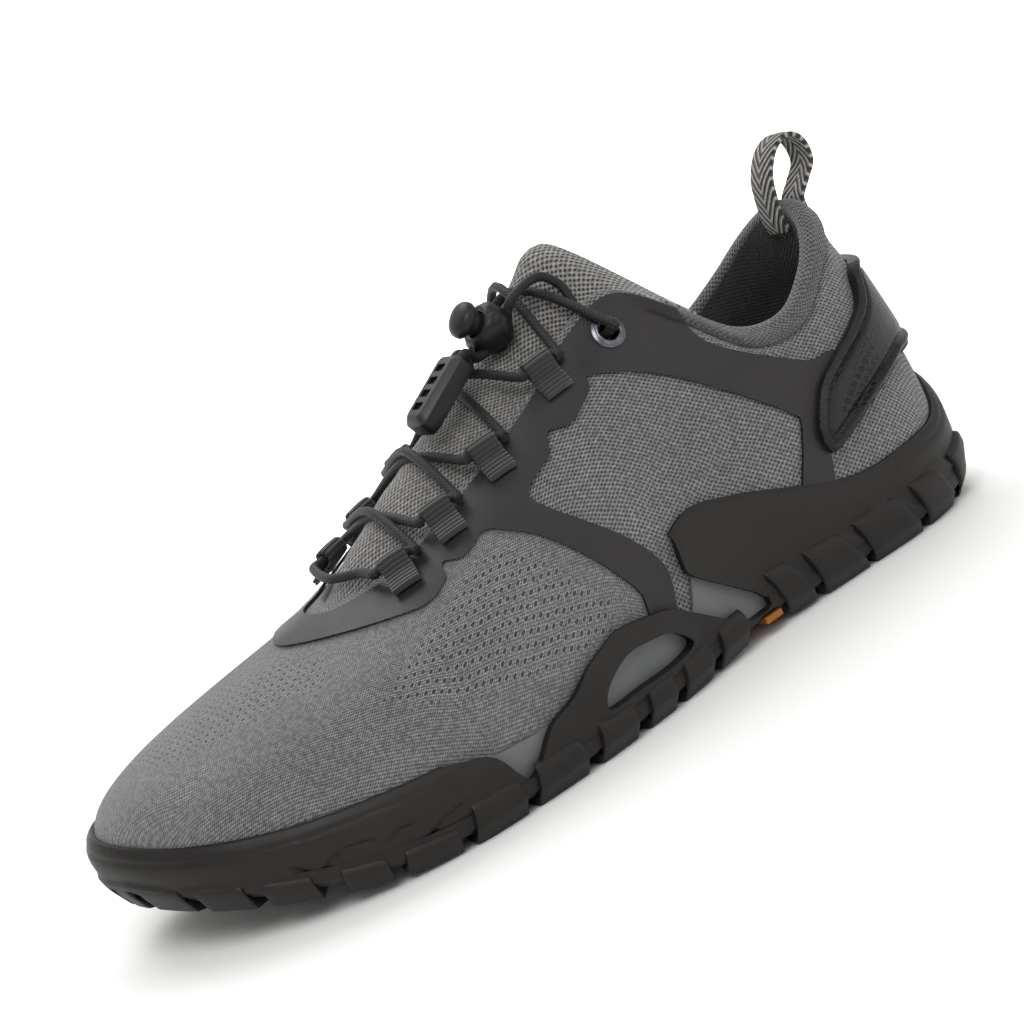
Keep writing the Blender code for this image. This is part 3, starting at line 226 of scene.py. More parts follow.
@lru_cache(maxsize=None)
def station_curve(station):
    """The level outward direction and the four control points of one station's curve."""
    step = 0.01
    behind, ahead = smooth_row(STATIONS, station - step), smooth_row(STATIONS, station + step)
    start = spot(behind[0], behind[1] * width_at(behind[0]), 0)
    tangent = spot(ahead[0], ahead[1] * width_at(ahead[0]), 0) - start
    out = Vector((-tangent.y, tangent.x, 0)).normalized()
    row = smooth_row(STATIONS, station)
    climb = ease((row[2] - HEAD_RISES_FROM) / HEAD_RISES_OVER)
    head_height = HEEL_HEIGHT + (INSTEP_HEIGHT - HEEL_HEIGHT) * climb
    foot = spot(row[0], row[1] * width_at(row[0]), SEAT + spring_at(row[0]))
    head = spot(row[2], row[3] * width_at(row[2]), row[4] * head_height)
    low = foot + out * row[5] * BALL_WIDTH + Vector((0, 0, row[6] * INSTEP_HEIGHT))
    high = head + out * row[7] * BALL_WIDTH - Vector((0, 0, row[8] * INSTEP_HEIGHT))
    return out, foot, low, high, head


def bare_skin(station, rise):
    """A point on the knit's outer face; rise goes from 0 at the sole to 1 at the opening."""
    _, foot, low, high, head = station_curve(round(station, 6))
    left = 1 - rise
    return foot * left**3 + low * 3 * left**2 * rise + high * 3 * left * rise**2 + head * rise**3


def skin_normal(station, rise):
    """Outward direction of the knit's outer face."""
    step = 0.002
    around = bare_skin(station + step * 5, rise) - bare_skin(station - step * 5, rise)
    up = bare_skin(station, min(1, rise + step)) - bare_skin(station, max(0, rise - step))
    return up.cross(around).normalized()


def skin(station, rise, offset=0.0):
    """A point at a distance outside the knit's outer face."""
    return bare_skin(station, rise) + skin_normal(station, rise) * offset


def sole_point(station, out, height):
    """A point beside the sole's outline, at a height above the sole's own floor line."""
    direction, foot = station_curve(round(station, 6))[:2]
    point = Vector((foot.x, foot.y, height)) + direction * out
    point.z += spring_at(share_of(point))
    return point


def knit_wall(station, rise):
    """Thickness of the upper: a thin knit, padded round the collar."""
    from_heel = min(station % AROUND, AROUND - station % AROUND)
    collar = 1 - ease((from_heel - COLLAR_STATIONS) / COLLAR_FADE)
    high = ease((rise - COLLAR_FROM) / COLLAR_OVER)
    return KNIT_WALL + (COLLAR_WALL - KNIT_WALL) * collar * high


@lru_cache(maxsize=None)
def rubber_rise(station):
    """The rise of the rubber's top line, found by halving."""
    height = smooth_row(STATIONS, station)[9] * INSTEP_HEIGHT
    low, high = 0.0, 1.0
    for _ in range(24):
        middle = (low + high) / 2
        low, high = (middle, high) if bare_skin(station, middle).z < height else (low, middle)
    return low


print("opening at the instep:", [round(x, 4) for x in skin(7.0, 1.0)])

# %% [markdown]
# ## How the pieces are made
# Most pieces of a shoe are sheets laid on the last. So one helper makes a bmesh grid, lays each
# corner where a small function says, and writes a cloth map in metres, so that threads keep their
# size. A second helper turns a bmesh into an object, rides it on its body and names its finish.


# %% Helpers for pieces
def as_object(name, shape):
    """Turn a bmesh into an object with smooth faces, in the scene."""
    mesh = bpy.data.meshes.new(name)
    shape.to_mesh(mesh)
    shape.free()
    for face in mesh.polygons:
        face.use_smooth = True
    thing = bpy.data.objects.new(name, mesh)
    bpy.context.scene.collection.objects.link(thing)
    return thing


def finished(name, shape, finish, replaces, sharp=40, body="shoe", sheet=None):
    """Make a piece that rides on a body, with its finish; a sheet has a (thickness, offset)."""
    piece = as_object(name, shape)
    piece.data.set_sharp_from_angle(angle=math.radians(sharp))
    for one in finish if isinstance(finish, list) else [finish]:
        piece.data.materials.append(one)
    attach(piece, body)
    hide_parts(*replaces)
    if sheet:
        shell = piece.modifiers.new("thickness", "SOLIDIFY")
        shell.thickness, shell.offset = sheet
    print(name, len(piece.data.polygons), "faces")
    return piece


def laid_grid(columns, rows, lay, cloth, mark=None, paint=None):
    """A bmesh grid whose corners go where lay(u, v) says, with a cloth map, marks and finishes."""
    shape = bmesh.new()
    bmesh.ops.create_grid(shape, x_segments=columns, y_segments=rows, size=0.5)
    shape.verts.index_update()
    spots = [
        (round((vertex.co.x + 0.5) * columns) / columns, round((vertex.co.y + 0.5) * rows) / rows)
        for vertex in shape.verts
    ]
    marks = shape.verts.layers.float.new("openwork")
    for vertex, (u, v) in zip(shape.verts, spots):
        vertex.co = lay(u, v)
        if mark:
            vertex[marks] = mark(u, v, vertex.co)
    layer = shape.loops.layers.uv.new("cloth")
    for face in shape.faces:
        for loop in face.loops:
            loop[layer].uv = cloth(*spots[loop.vert.index], loop.vert.co)
        if paint:
            corners = [spots[loop.vert.index] for loop in face.loops]
            middle = [sum(values) / len(corners) for values in zip(*corners)]
            face.material_index = paint(*middle, face.calc_center_median())
    return shape


def closed_grid(columns, rows, lay, cloth, mark=None, paint=None):
    """A laid grid whose edges meet, merged and filled into one closed skin that faces outward."""
    shape = laid_grid(columns, rows, lay, cloth, mark, paint)
    bmesh.ops.remove_doubles(shape, verts=shape.verts, dist=1e-6)
    bmesh.ops.holes_fill(shape, edges=[edge for edge in shape.edges if edge.is_boundary])
    bmesh.ops.recalc_face_normals(shape, faces=shape.faces)
    return shape


def facing_up(shape):
    """Turn an open sheet so that it faces upward."""
    if sum(face.normal.z for face in shape.faces) < 0:
        bmesh.ops.reverse_faces(shape, faces=shape.faces)
    return shape


def tray_lay(rows, profile):
    """A lay for a tray or plate: its first and last rows lie on the middle line of the foot."""
    def lay(u, v):
        station, row = u * AROUND, round(v * rows)
        if 0 < row < rows:
            return profile(station, row)
        near = 1 if row == 0 else rows - 1
        return (profile(station, near) + profile(AROUND - station, near)) / 2

    return lay


def turned_shape(profile, origin, axis, steps):
    """A chain of (radius, height) points spun once round an axis."""
    shape = bmesh.new()
    across = axis.orthogonal().normalized()
    chain = [shape.verts.new(origin + across * radius + axis * height) for radius, height in profile]
    edges = [shape.edges.new(pair) for pair in zip(chain, chain[1:])]
    bmesh.ops.spin(
        shape, geom=chain + edges, cent=origin, axis=axis, angle=math.tau, steps=steps, use_merge=True
    )
    bmesh.ops.remove_doubles(shape, verts=shape.verts, dist=1e-6)
    bmesh.ops.recalc_face_normals(shape, faces=shape.faces)
    return shape


def side_cutter(name, outline):
    """A block that runs across the shoe, from an outline of length and height shares."""
    shape = bmesh.new()
    corners = [shape.verts.new(spot(along, -BALL_WIDTH, high * INSTEP_HEIGHT)) for along, high in outline]
    face = shape.faces.new(corners)
    walls = bmesh.ops.extrude_face_region(shape, geom=[face])["geom"]
    moved = [item for item in walls if isinstance(item, bmesh.types.BMVert)]
    bmesh.ops.translate(shape, verts=moved, vec=Vector((0, 2 * BALL_WIDTH, 0)))
    bmesh.ops.recalc_face_normals(shape, faces=shape.faces)
    return as_object(name, shape)


def cut_by(shape, *cuts):
    """Cut, or keep, what a block covers, and return the result as a bmesh."""
    blank = as_object("blank", shape)
    for operation, block in cuts:
        modifier = blank.modifiers.new(block.name, "BOOLEAN")
        modifier.solver = "EXACT"
        modifier.operation = operation
        modifier.object = block
    result = bmesh.new()
    bpy.context.view_layer.update()
    result.from_object(blank, bpy.context.evaluated_depsgraph_get())
    for item in [blank] + [block for _, block in cuts]:
        bpy.data.objects.remove(item, do_unlink=True)
    return result


def edge_distance(along, high, outline):
    """Distance in metres, seen from the side, from a point to an outline."""
    here = Vector((along * LENGTH, high * INSTEP_HEIGHT))
    best = 1.0
    for a, b in zip(outline, outline[1:]):
        start, end = (Vector((p[0] * LENGTH, p[1] * INSTEP_HEIGHT)) for p in (a, b))
        part = end - start
        t = max(0.0, min(1.0, (here - start).dot(part) / part.length_squared))
        best = min(best, (here - start - part * t).length)
    return best


def inside(along, high, outline):
    """Whether a point lies in an outline, seen from the side."""
    hit = False
    for (x1, y1), (x2, y2) in zip(outline, outline[1:] + outline[:1]):
        if (y1 > high) != (y2 > high) and along < (x2 - x1) * (high - y1) / (y2 - y1) + x1:
            hit = not hit
    return hit


# %% [markdown]
# ## Finishes
# Cloth is never one flat colour: a knit shows light yarn over dark gaps, and catches light on each
# stitch. Each finish starts from the real material. Patterns are sized in millimetres on the cloth
# map. One helper adds a node with its settings and links.


# %% Colours and nodes
def linear(hexcode):
    """An sRGB hex colour as linear numbers."""
    parts = [int(hexcode[k:k + 2], 16) / 255 for k in (1, 3, 5)]
    return (*[c / 12.92 if c <= 0.04045 else ((c + 0.055) / 1.055) ** 2.4 for c in parts], 1.0)


def add_node(tree, kind, sockets=None, **settings):
    """Add a node, set its properties, and fill its inputs with numbers or with other outputs."""
    node = tree.nodes.new(kind)
    for key, value in settings.items():
        setattr(node, key, value)
    for key, value in (sockets or {}).items():
        if isinstance(value, bpy.types.NodeSocket):
            tree.links.new(value, node.inputs[key])
        else:
            node.inputs[key].default_value = value
    return node


def new_material(name, roughness, metallic=0.0, **more):
    """A material with its Principled shader, whose plain numbers are set on its own sockets."""
    material = bpy.data.materials.new(name)
    material.use_nodes = True
    shader = material.node_tree.nodes["Principled BSDF"]
    shader.inputs["Roughness"].default_value = roughness
    shader.inputs["Metallic"].default_value = metallic
    for key, value in more.items():
        shader.inputs[key.replace("_", " ")].default_value = value
    return material, material.node_tree, shader


def ramp(tree, factor, *stops):
    """A colour ramp from (position, hex colour) stops."""
    node = add_node(tree, "ShaderNodeValToRGB", {"Fac": factor})
    while len(node.color_ramp.elements) < len(stops):
        node.color_ramp.elements.new(0.5)
    for element, (position, colour) in zip(node.color_ramp.elements, stops):
        element.position = position
        element.color = linear(colour) if isinstance(colour, str) else (colour, colour, colour, 1.0)
    return node.outputs["Color"]


def blended(tree, factor, first, second, kind="MIX"):
    """Mix two colours by a factor."""
    sockets = {0: factor, 6: first, 7: second}
    return add_node(tree, "ShaderNodeMix", sockets, data_type="RGBA", blend_type=kind).outputs[2]


def calc(tree, operation, *values):
    """The result of one Math node, for numbers or outputs."""
    return add_node(tree, "ShaderNodeMath", dict(enumerate(values)), operation=operation).outputs[0]


def marked(tree):
    """The openwork mark of the mesh."""
    return add_node(tree, "ShaderNodeAttribute", attribute_name="openwork").outputs["Fac"]


def lattice(tree, pitch_along, pitch_up, angle=math.pi / 4, jitter=0.12):
    """Distance from the nearest hole of a staggered net of holes, on the cloth map."""
    place = add_node(tree, "ShaderNodeUVMap", uv_map="cloth").outputs["UV"]
    scaled = add_node(tree, "ShaderNodeMapping", {
        "Vector": place, "Scale": (1 / pitch_along, 1 / pitch_up, 1.0),
        "Rotation": (0.0, 0.0, angle),
    }).outputs["Vector"]
    return add_node(tree, "ShaderNodeTexVoronoi", {
        "Vector": scaled, "Scale": 1.0, "Randomness": jitter,
    }, voronoi_dimensions="2D").outputs["Distance"]


def surface(tree, shader, colour, height, depth):
    """Link a colour and a height pattern, in metres, to the shader."""
    node = add_node(tree, "ShaderNodeBump", {"Height": height, "Distance": depth, "Strength": 1.0})
    tree.links.new(node.outputs["Normal"], shader.inputs["Normal"])
    tree.links.new(colour, shader.inputs["Base Color"])


def scaled_noise(tree, scale, detail=4.0):
    """Noise on the piece's own coordinates."""
    place = add_node(tree, "ShaderNodeTexCoord").outputs["Object"]
    sockets = {"Vector": place, "Scale": scale, "Detail": detail}
    return add_node(tree, "ShaderNodeTexNoise", sockets).outputs["Fac"]


# %% [markdown]
# ### Knit, mesh and lining
# The vamp is a fine polyester knit, about 1 mm a stitch, in a grey melange of light and dark yarn.
# The quarter is a coarser jacquard of diamonds. Two fans of openwork let air in, where the mark on
# the mesh is 1, and each of their holes is ringed by a painted highlight. The tongue and the collar
# are an open spacer mesh: bright yarn round dark holes.


# %% Cloth finishes
def knit_material(name, light, middle, dark, pitch, gap, openwork=False, weave_depth=0.0004):
    """A knit of yarn round small gaps, with an optional second net of larger holes, each ringed by a
    painted highlight.
    """
    material, tree, shader = new_material(name, 0.88, Sheen_Weight=0.25, Sheen_Roughness=0.5)
    holes = lattice(tree, pitch[0], pitch[1])
    yarn = ramp(tree, holes, (0.0, dark), (gap * 0.55, dark), (gap, middle), (min(0.98, gap * 2.1), light))
    melange = ramp(tree, scaled_noise(tree, 900.0, 2.0), (0.36, 0.62), (0.62, 1.12))
    colour = blended(tree, 1.0, yarn, melange, "MULTIPLY")
    cloudy = ramp(tree, scaled_noise(tree, 45.0), (0.3, 0.90), (0.7, 1.06))
    colour = blended(tree, 1.0, colour, cloudy, "MULTIPLY")
    height = ramp(tree, holes, (0.0, 0.0), (gap * 1.4, 1.0))
    if openwork:
        fan = marked(tree)
        eyes = lattice(tree, 0.0034, 0.0026, 0.72, 0.16)
        eye = calc(tree, "MULTIPLY", ramp(tree, eyes, (0.0, 1.0), (0.16, 1.0), (0.25, 0.0)), fan)
        # rim: a painted highlight, a lighter ring round each openwork hole
        rim = calc(tree, "MULTIPLY", ramp(tree, eyes, (0.22, 0.0), (0.29, 1.0), (0.36, 0.0)), fan)
        colour = blended(tree, eye, colour, linear("#232326"))
        colour = blended(tree, calc(tree, "MULTIPLY", rim, 0.45), colour, linear("#a4a5a8"))
        height = calc(tree, "SUBTRACT", height, eye)
    surface(tree, shader, colour, height, weave_depth)
    return material


VAMP_KNIT = knit_material(
    "flat polyester knit", "#7a797b", "#646365", "#363537", (0.00100, 0.00074), 0.30, openwork=True
)
QUARTER_KNIT = knit_material(
    "jacquard polyester knit", "#838387", "#5d5d60", "#242426", (0.00150, 0.00110), 0.34
)
TONGUE_MESH = knit_material(
    "spacer mesh", "#a09d99", "#75726f", "#121111", (0.00125, 0.00092), 0.38, weave_depth=0.0005
)
COLLAR_MESH = knit_material(
    "collar spacer mesh", "#626265", "#4a4a4d", "#171718", (0.00125, 0.00095), 0.36
)
LINING = knit_material("dark brushed lining", "#2f2e2f", "#232223", "#0b0b0b", (0.0013, 0.0010), 0.34)

# %% [markdown]
# ### Film, rubber and plastic
# The overlay is a polyurethane film welded on with heat: smooth, dark, with a soft sheen, and a
# faint print of the knit under it. The outsole is moulded rubber, matt, with a fine mould grain and
# a cloudy tone, a little lighter in random patches.


# %% Smooth finishes
PIERCED_DEPTH = 0.0004


def moulded_material(name, colour, worn, roughness, grain, depth, coat=0.0, ribs=False, pierced=False):
    """A moulded surface with fine grain, cloudy gloss and a cloudy tone, a little lighter in random
    patches.
    """
    material, tree, shader = new_material(
        name, roughness, Coat_Weight=coat, Coat_Roughness=0.35, Specular_IOR_Level=0.28
    )
    cloud = scaled_noise(tree, 60.0, 5.0)
    tint = ramp(tree, cloud, (0.30, colour), (0.75, worn))
    height = scaled_noise(tree, grain, 3.0)
    if ribs:
        knit = ramp(tree, lattice(tree, 0.0011, 0.0008), (0.1, 0.0), (0.5, 1.0))
        height = blended(tree, 0.5, height, knit)
        tint = blended(tree, 0.10, tint, ramp(tree, knit, (0.0, colour), (1.0, "#4a484c")))
    if pierced:
        # pierced dots: pressed in by the bump and painted near black, as painted shade in each pit
        dots = ramp(tree, lattice(tree, 0.0036, 0.0026, jitter=0.0), (0.28, 1.0), (0.36, 0.0))
        holes = calc(tree, "MULTIPLY", dots, marked(tree))
        tint = blended(tree, holes, tint, linear("#020202"))
        height = calc(tree, "SUBTRACT", height, holes)
        depth = PIERCED_DEPTH
    gloss = ramp(tree, cloud, (0.3, roughness - 0.06), (0.7, roughness + 0.08))
    tree.links.new(gloss, shader.inputs["Roughness"])
    surface(tree, shader, tint, height, depth)
    return material


FILM = moulded_material(
    "welded polyurethane film", "#181514", "#201d1c", 0.42, 1400.0, 0.00008, 0.06, ribs=True
)
RUBBER = moulded_material("moulded carbon rubber", "#141211", "#1f1c1a", 0.50, 1100.0, 0.00010)
FOAM = moulded_material("moulded grey foam", "#5f6061", "#6a6b6c", 0.62, 1500.0, 0.00008)
ORANGE = moulded_material("moulded orange rubber", "#8a4f18", "#985a20", 0.55, 1100.0, 0.00008)
NYLON = moulded_material("moulded black nylon", "#121111", "#1b1a1a", 0.38, 1600.0, 0.00005)
# a lighter copy of the black nylon: painted light on the end clip's outer faces, which face the lamps
NYLON_PAINTED_LIGHTER = moulded_material("black nylon painted lighter where lit", "#242527", "#2d2e30", 0.42, 1600.0, 0.00005)
HEEL_TPU = moulded_material(
    "moulded heel polyurethane", "#141315", "#1c1b1d", 0.42, 1500.0, 0.00006, 0.05, pierced=True
)


# gunmetal plating on pressed brass: dark, smooth, a little cloudy
GUNMETAL, tree, shader = new_material("gunmetal plated brass", 0.28, 1.0)
cloud = scaled_noise(tree, 300.0)
surface(tree, shader, ramp(tree, cloud, (0.3, "#58585e"), (0.7, "#74747a")), cloud, 0.00003)

# %% [markdown]
# ### Webbing, strap and cord
# Grosgrain webbing has ribs across its width. The pull loop is a herringbone tape of light and dark
# yarn. The lace is an elastic cord in a braided sleeve. All three follow the piece, so they read
# the cloth map.


# %% Woven finishes
def cloth_wave(tree, pitch_along, pitch_up, fold=False):
    """A sine wave over the cloth map, 0 to 1, with an optional fold of the across coordinate."""
    place = add_node(tree, "ShaderNodeUVMap", uv_map="cloth").outputs["UV"]
    parts = add_node(tree, "ShaderNodeSeparateXYZ", {"Vector": place}).outputs
    across = parts[1]
    if fold:
        across = calc(tree, "ABSOLUTE", across)
    first = calc(tree, "MULTIPLY", parts[0], math.tau / pitch_along)
    second = calc(tree, "MULTIPLY", across, math.tau / pitch_up)
    wave = calc(tree, "SINE", calc(tree, "ADD", first, second))
    return add_node(tree, "ShaderNodeMapRange", {"Value": wave, "From Min": -1.0}).outputs["Result"]


# black grosgrain: ribs of 1.3 mm with yarn of 0.6 mm across them; the ribs' crests are painted lighter as a
# painted highlight and their troughs darker as painted shade
FLAT = 1e9  # a pitch so long that the wave doesn't change that way
WEBBING, tree, shader = new_material("grosgrain webbing", 0.78, Sheen_Weight=0.2)
ribs = cloth_wave(tree, 0.0013, FLAT)
yarn = ramp(tree, cloth_wave(tree, FLAT, 0.0006), (0.0, "#111010"), (1.0, "#322f2e"))
tone = ramp(tree, ribs, (0.0, "#050505"), (0.5, "#100f0f"), (1.0, "#201e1e"))
surface(tree, shader, blended(tree, 0.35, tone, yarn), ribs, 0.0004)

# herringbone tape: light and dark yarn in 3 mm chevrons, with fuzz that breaks the lines up
STRAP, tree, shader = new_material("herringbone tape", 0.85, Sheen_Weight=0.2)
chevron = cloth_wave(tree, 0.0030, 0.0021, fold=True)
fuzz = ramp(tree, scaled_noise(tree, 900.0), (0.35, 0.55), (0.6, 1.05))
tone = ramp(tree, chevron, (0.25, "#201f1f"), (0.55, "#3b3937"), (0.78, "#7d7872"), (0.97, "#a8a29a"))
surface(tree, shader, blended(tree, 1.0, tone, fuzz, "MULTIPLY"), chevron, 0.0005)

# braided polyester sleeve over elastic: two sets of fine yarns that cross, nearly black and smooth
CORD, tree, shader = new_material("braided elastic cord", 0.55, Sheen_Weight=0.04, Specular_IOR_Level=0.3)
braid = calc(tree, "MAXIMUM", cloth_wave(tree, 0.0016, 0.00105), cloth_wave(tree, 0.0016, -0.00105))
surface(tree, shader, ramp(tree, braid, (0.3, "#080808"), (0.9, "#161516")), braid, 0.00012)
print("finishes:", len(bpy.data.materials))

# %% [markdown]
# ## Cords
# The lace is elastic. Its two free ends come up from under the eyestays, pass through the cord lock
# and end in a small clip, so each one is a short cord that lies where its maker's points put it. A
# cord is a tube: a grid rolled round a path. A frame is carried along the path without twisting, so
# the braid runs true.

# %% Sizes of the lacing
GAP_TO_LACE = 0.0012
EYELET_STATION, EYELET_RISE = 7.42, 0.86
LOOP_STATIONS = (11.86, 10.97, 9.94, 8.59)
LOOP_RISE = 0.87
LOOP_LENGTH, LOOP_WIDTH = 0.0125, 0.0085
LOOP_SEAT = 0.0007
WEBBING_THICKNESS = 0.0009
CORD_RADIUS = 0.00135
TUNNEL = CORD_RADIUS + GAP
LACE_LIFT = 2 * CORD_RADIUS + GAP
TOP_LIFT = 0.0012
LOCK_CENTRE = spot(0.4555, -0.0060, 0.1091)
LOCK_AXIS = Vector((-0.75, 0.0, 0.66)).normalized()
LOCK_RADIUS, LOCK_BACK, LOCK_FRONT = 0.0068, 0.0070, 0.0042
LOCK_PRESS, LOCK_PRESS_REACH = 0.0028, 0.013  # how the lock presses into the padded tongue
CORD_UNDER_BUTTON = 0.0047  # the cords pass under the bore, so the pressed button does not meet them
BUTTON_STEM, BUTTON_RADIUS, BUTTON_TRAVEL, BUTTON_CAP = 0.0034, 0.0052, 0.0025, 0.0036
CLIP_CENTRE = spot(0.5375, -0.0085, 0.1004)
CLIP_LENGTH, CLIP_WIDTH, CLIP_HEIGHT, CLIP_SLOPE = 0.023, 0.011, 0.0066, 0.53
CLIP_ALONG = Vector((-math.cos(CLIP_SLOPE), 0.0, -math.sin(CLIP_SLOPE)))
LACE_ENDS = {
    "lateral": (-1, 7.5, (
        (0.3790, -0.0165, 0.1070), (0.3800, -0.0142, 0.1122), (0.3980, -0.0128, 0.1166),
        (0.4340, -0.0126, 0.1140),
    )),
    "medial": (1, 22.2, (
        (0.4090, 0.0185, 0.0992), (0.4180, 0.0130, 0.1092), (0.4320, 0.0070, 0.1122),
        (0.4420, 0.0028, 0.1114),
    )),
}


# %% A tube round a path
def path_frames(path):
    """The path's points with two directions across it, carried along without twist."""
    across, frames, run = None, [], 0.0
    for k, point in enumerate(path):
        ahead = (path[min(k + 1, len(path) - 1)] - path[max(k - 1, 0)]).normalized()
        across = across or ahead.orthogonal()
        across = (across - ahead * across.dot(ahead)).normalized()
        run += (point - path[k - 1]).length if k else 0.0
        frames.append((point, across, ahead.cross(across), run))
    return frames


def cord_shape(path, radius, sides=16, strands=4):
    """A closed tube round a path, whose cloth map runs along it and counts whole strands round it."""
    frames = path_frames(path)
    steps = len(path) - 1

    def lay(u, v):
        point, across, other, _ = frames[round(u * steps)]
        turn = math.tau * v
        return point + (across * math.cos(turn) + other * math.sin(turn)) * radius

    def cloth(u, v, _):
        return frames[round(u * steps)][3], v * strands * 0.0021

    return closed_grid(steps, sides, lay, cloth), frames[-1][3]


# %% The two free cord ends
LEAVE_LOCK = Vector((-0.78, 0, -0.62)).normalized()
PAST_LOCK, BEFORE_CLIP, INTO_CLIP = 0.0018, 0.0012, 0.004
for word, (hand, station, free) in LACE_ENDS.items():
    start = skin(station, 1.0, -knit_wall(station, 1.0) - CORD_RADIUS - 2 * GAP)
    beside = Vector((0, hand * (CORD_RADIUS + GAP), 0))
    leave = LOCK_CENTRE + LEAVE_LOCK * (LOCK_BACK + PAST_LOCK) + beside
    arrive = CLIP_CENTRE - CLIP_ALONG * (CLIP_LENGTH / 2 + BEFORE_CLIP) + beside
    bend = (leave + arrive) / 2 + Vector((0, 0, 0.0004))
    grip = LOCK_CENTRE - LOCK_AXIS * CORD_UNDER_BUTTON + beside
    route = [start] + [spot(*point) for point in free] + [grip, leave, bend, arrive]
    route.append(arrive + CLIP_ALONG * INTO_CLIP)
    path = smooth_path(route, 8)
    shape, length = cord_shape(path, CORD_RADIUS)
    finished(
        f"cord_{word}", shape, CORD, replaces=(f"lace_end_{word}", f"lace_tail_{word}")
    )
    print(word, "cord end is", round(length * 1000, 1), "mm long")

# %% [markdown]
# ## The knit upper
# A knit upper is one sock: an outer face, a soft rolled lip round the opening and a dark lining.
# Here it is one closed grid that runs up the outside, over the lip and down the inside. The rolled
# collar binding, its seam and the soft creases of worn-in cloth are small offsets from the last.

# %% Where cloth lies on the cloth map
TOP_LINE = (
    (0.0, 0.098), (0.46, 0.098), (0.52, 0.094), (0.6, 0.081), (0.7, 0.065), (0.8, 0.056), (0.88, 0.050),
    (0.95, 0.040), (1.0, 0.024),
)


def read_line(line, place):
    """A value from a table of (place, value), straight between its points."""
    for (a, low), (b, high) in zip(line, line[1:]):
        if place <= b:
            return low + (high - low) * max(0.0, place - a) / (b - a)
    return line[-1][1]


def side_cloth(_, __, point):
    """Cloth coordinates in metres: along the shoe, and down each side from the middle of the top."""
    top = read_line(TOP_LINE, share_of(point))
    along = share_of(point) * LENGTH + 0.6 * max(0.0, 0.064 - top)
    return along, point.y + math.tanh(point.y / 0.012) * max(0.0, top - point.z)


# %% Creases, seams and openwork of the knit
BINDING_RISE, BINDING_BULGE, SEAM_HALF = 0.93, 0.0010, 0.009
BINDING_STATIONS, BINDING_FADE = 6.2, 1.0
# start and end in length and height shares, half width and depth in mm, side (-1 lateral, 1 medial, 0 both)
CREASES = (
    (0.660, 0.46, 0.725, 0.33, 3.2, 0.7, 0), (0.720, 0.50, 0.775, 0.36, 3.4, 0.8, -1),
    (0.590, 0.40, 0.640, 0.31, 3.0, 0.6, 0), (0.800, 0.40, 0.850, 0.30, 3.6, 0.7, 0),
    (0.640, 0.55, 0.690, 0.50, 2.6, 0.5, -1), (0.300, 0.52, 0.380, 0.42, 3.6, 0.8, 0),
    (0.360, 0.62, 0.430, 0.50, 3.4, 0.7, -1), (0.280, 0.38, 0.400, 0.36, 3.2, 0.6, 1),
    (0.180, 0.64, 0.260, 0.60, 3.4, 0.8, 0), (0.060, 0.80, 0.140, 0.74, 3.2, 0.6, 0),
    (0.740, 0.46, 0.800, 0.34, 3.2, 0.8, 1), (0.450, 0.55, 0.480, 0.42, 3.0, 0.6, 1),
)
SIDE_FAN = (
    (0.778, 0.430), (0.734, 0.475), (0.671, 0.545), (0.611, 0.607), (0.581, 0.573), (0.559, 0.489),
    (0.517, 0.334), (0.544, 0.264), (0.609, 0.270), (0.694, 0.311), (0.746, 0.367),
)
# the fan on top of the toes, in stations and rises
TOE_FAN = (
    (15.83, 0.49), (15.86, 0.62), (15.86, 0.78), (14.52, 0.92), (13.31, 0.85), (12.92, 0.68),
    (13.70, 0.70), (14.23, 0.62), (14.66, 0.55), (15.16, 0.51),
)


def crease_depth(point):
    """How far the creases pull the cloth in, in metres."""
    along, high = seen(point)
    depth = 0.0
    for a, b, c, d, width, mm, hand in CREASES:
        if hand * point.y >= 0 and min(a, c) - 0.04 < along < max(a, c) + 0.04:
            away = edge_distance(along, high, ((a, b), (c, d))) * 1000
            depth += mm * bell(away, width) / 1000
    return depth


def binding_bulge(station, rise):
    """The rolled collar binding: a seam trough with a round band above it."""
    from_heel = min(station % AROUND, AROUND - station % AROUND)
    collar = 1 - ease((from_heel - BINDING_STATIONS) / BINDING_FADE)
    band = math.sin(math.pi * max(0.0, (rise - BINDING_RISE) / (1 - BINDING_RISE)))
    return collar * (BINDING_BULGE * band - BINDING_BULGE * bell(rise - BINDING_RISE, SEAM_HALF))


def knit_face(station, rise, offset=0.0):
    """A point at a distance outside the knit, with its creases and its binding."""
    point = bare_skin(station, rise)
    return point + skin_normal(station, rise) * (
        offset + binding_bulge(station, rise) - crease_depth(point)
    )


# %% The upper
OUTER_ROWS, BINDING_ROWS, LIP_ROWS, LINING_ROWS = 38, 7, 8, 16
KNIT_ROWS = OUTER_ROWS + BINDING_ROWS + LIP_ROWS + LINING_ROWS + 2
LIP_HEIGHT = 0.38  # of the wall's thickness


def outer_rise(row):
    """The rise of a row on the outer face, so that one row lies on the binding's seam."""
    if row <= OUTER_ROWS:
        return BINDING_RISE * row / OUTER_ROWS
    return BINDING_RISE + (1 - BINDING_RISE) * (row - OUTER_ROWS) / BINDING_ROWS


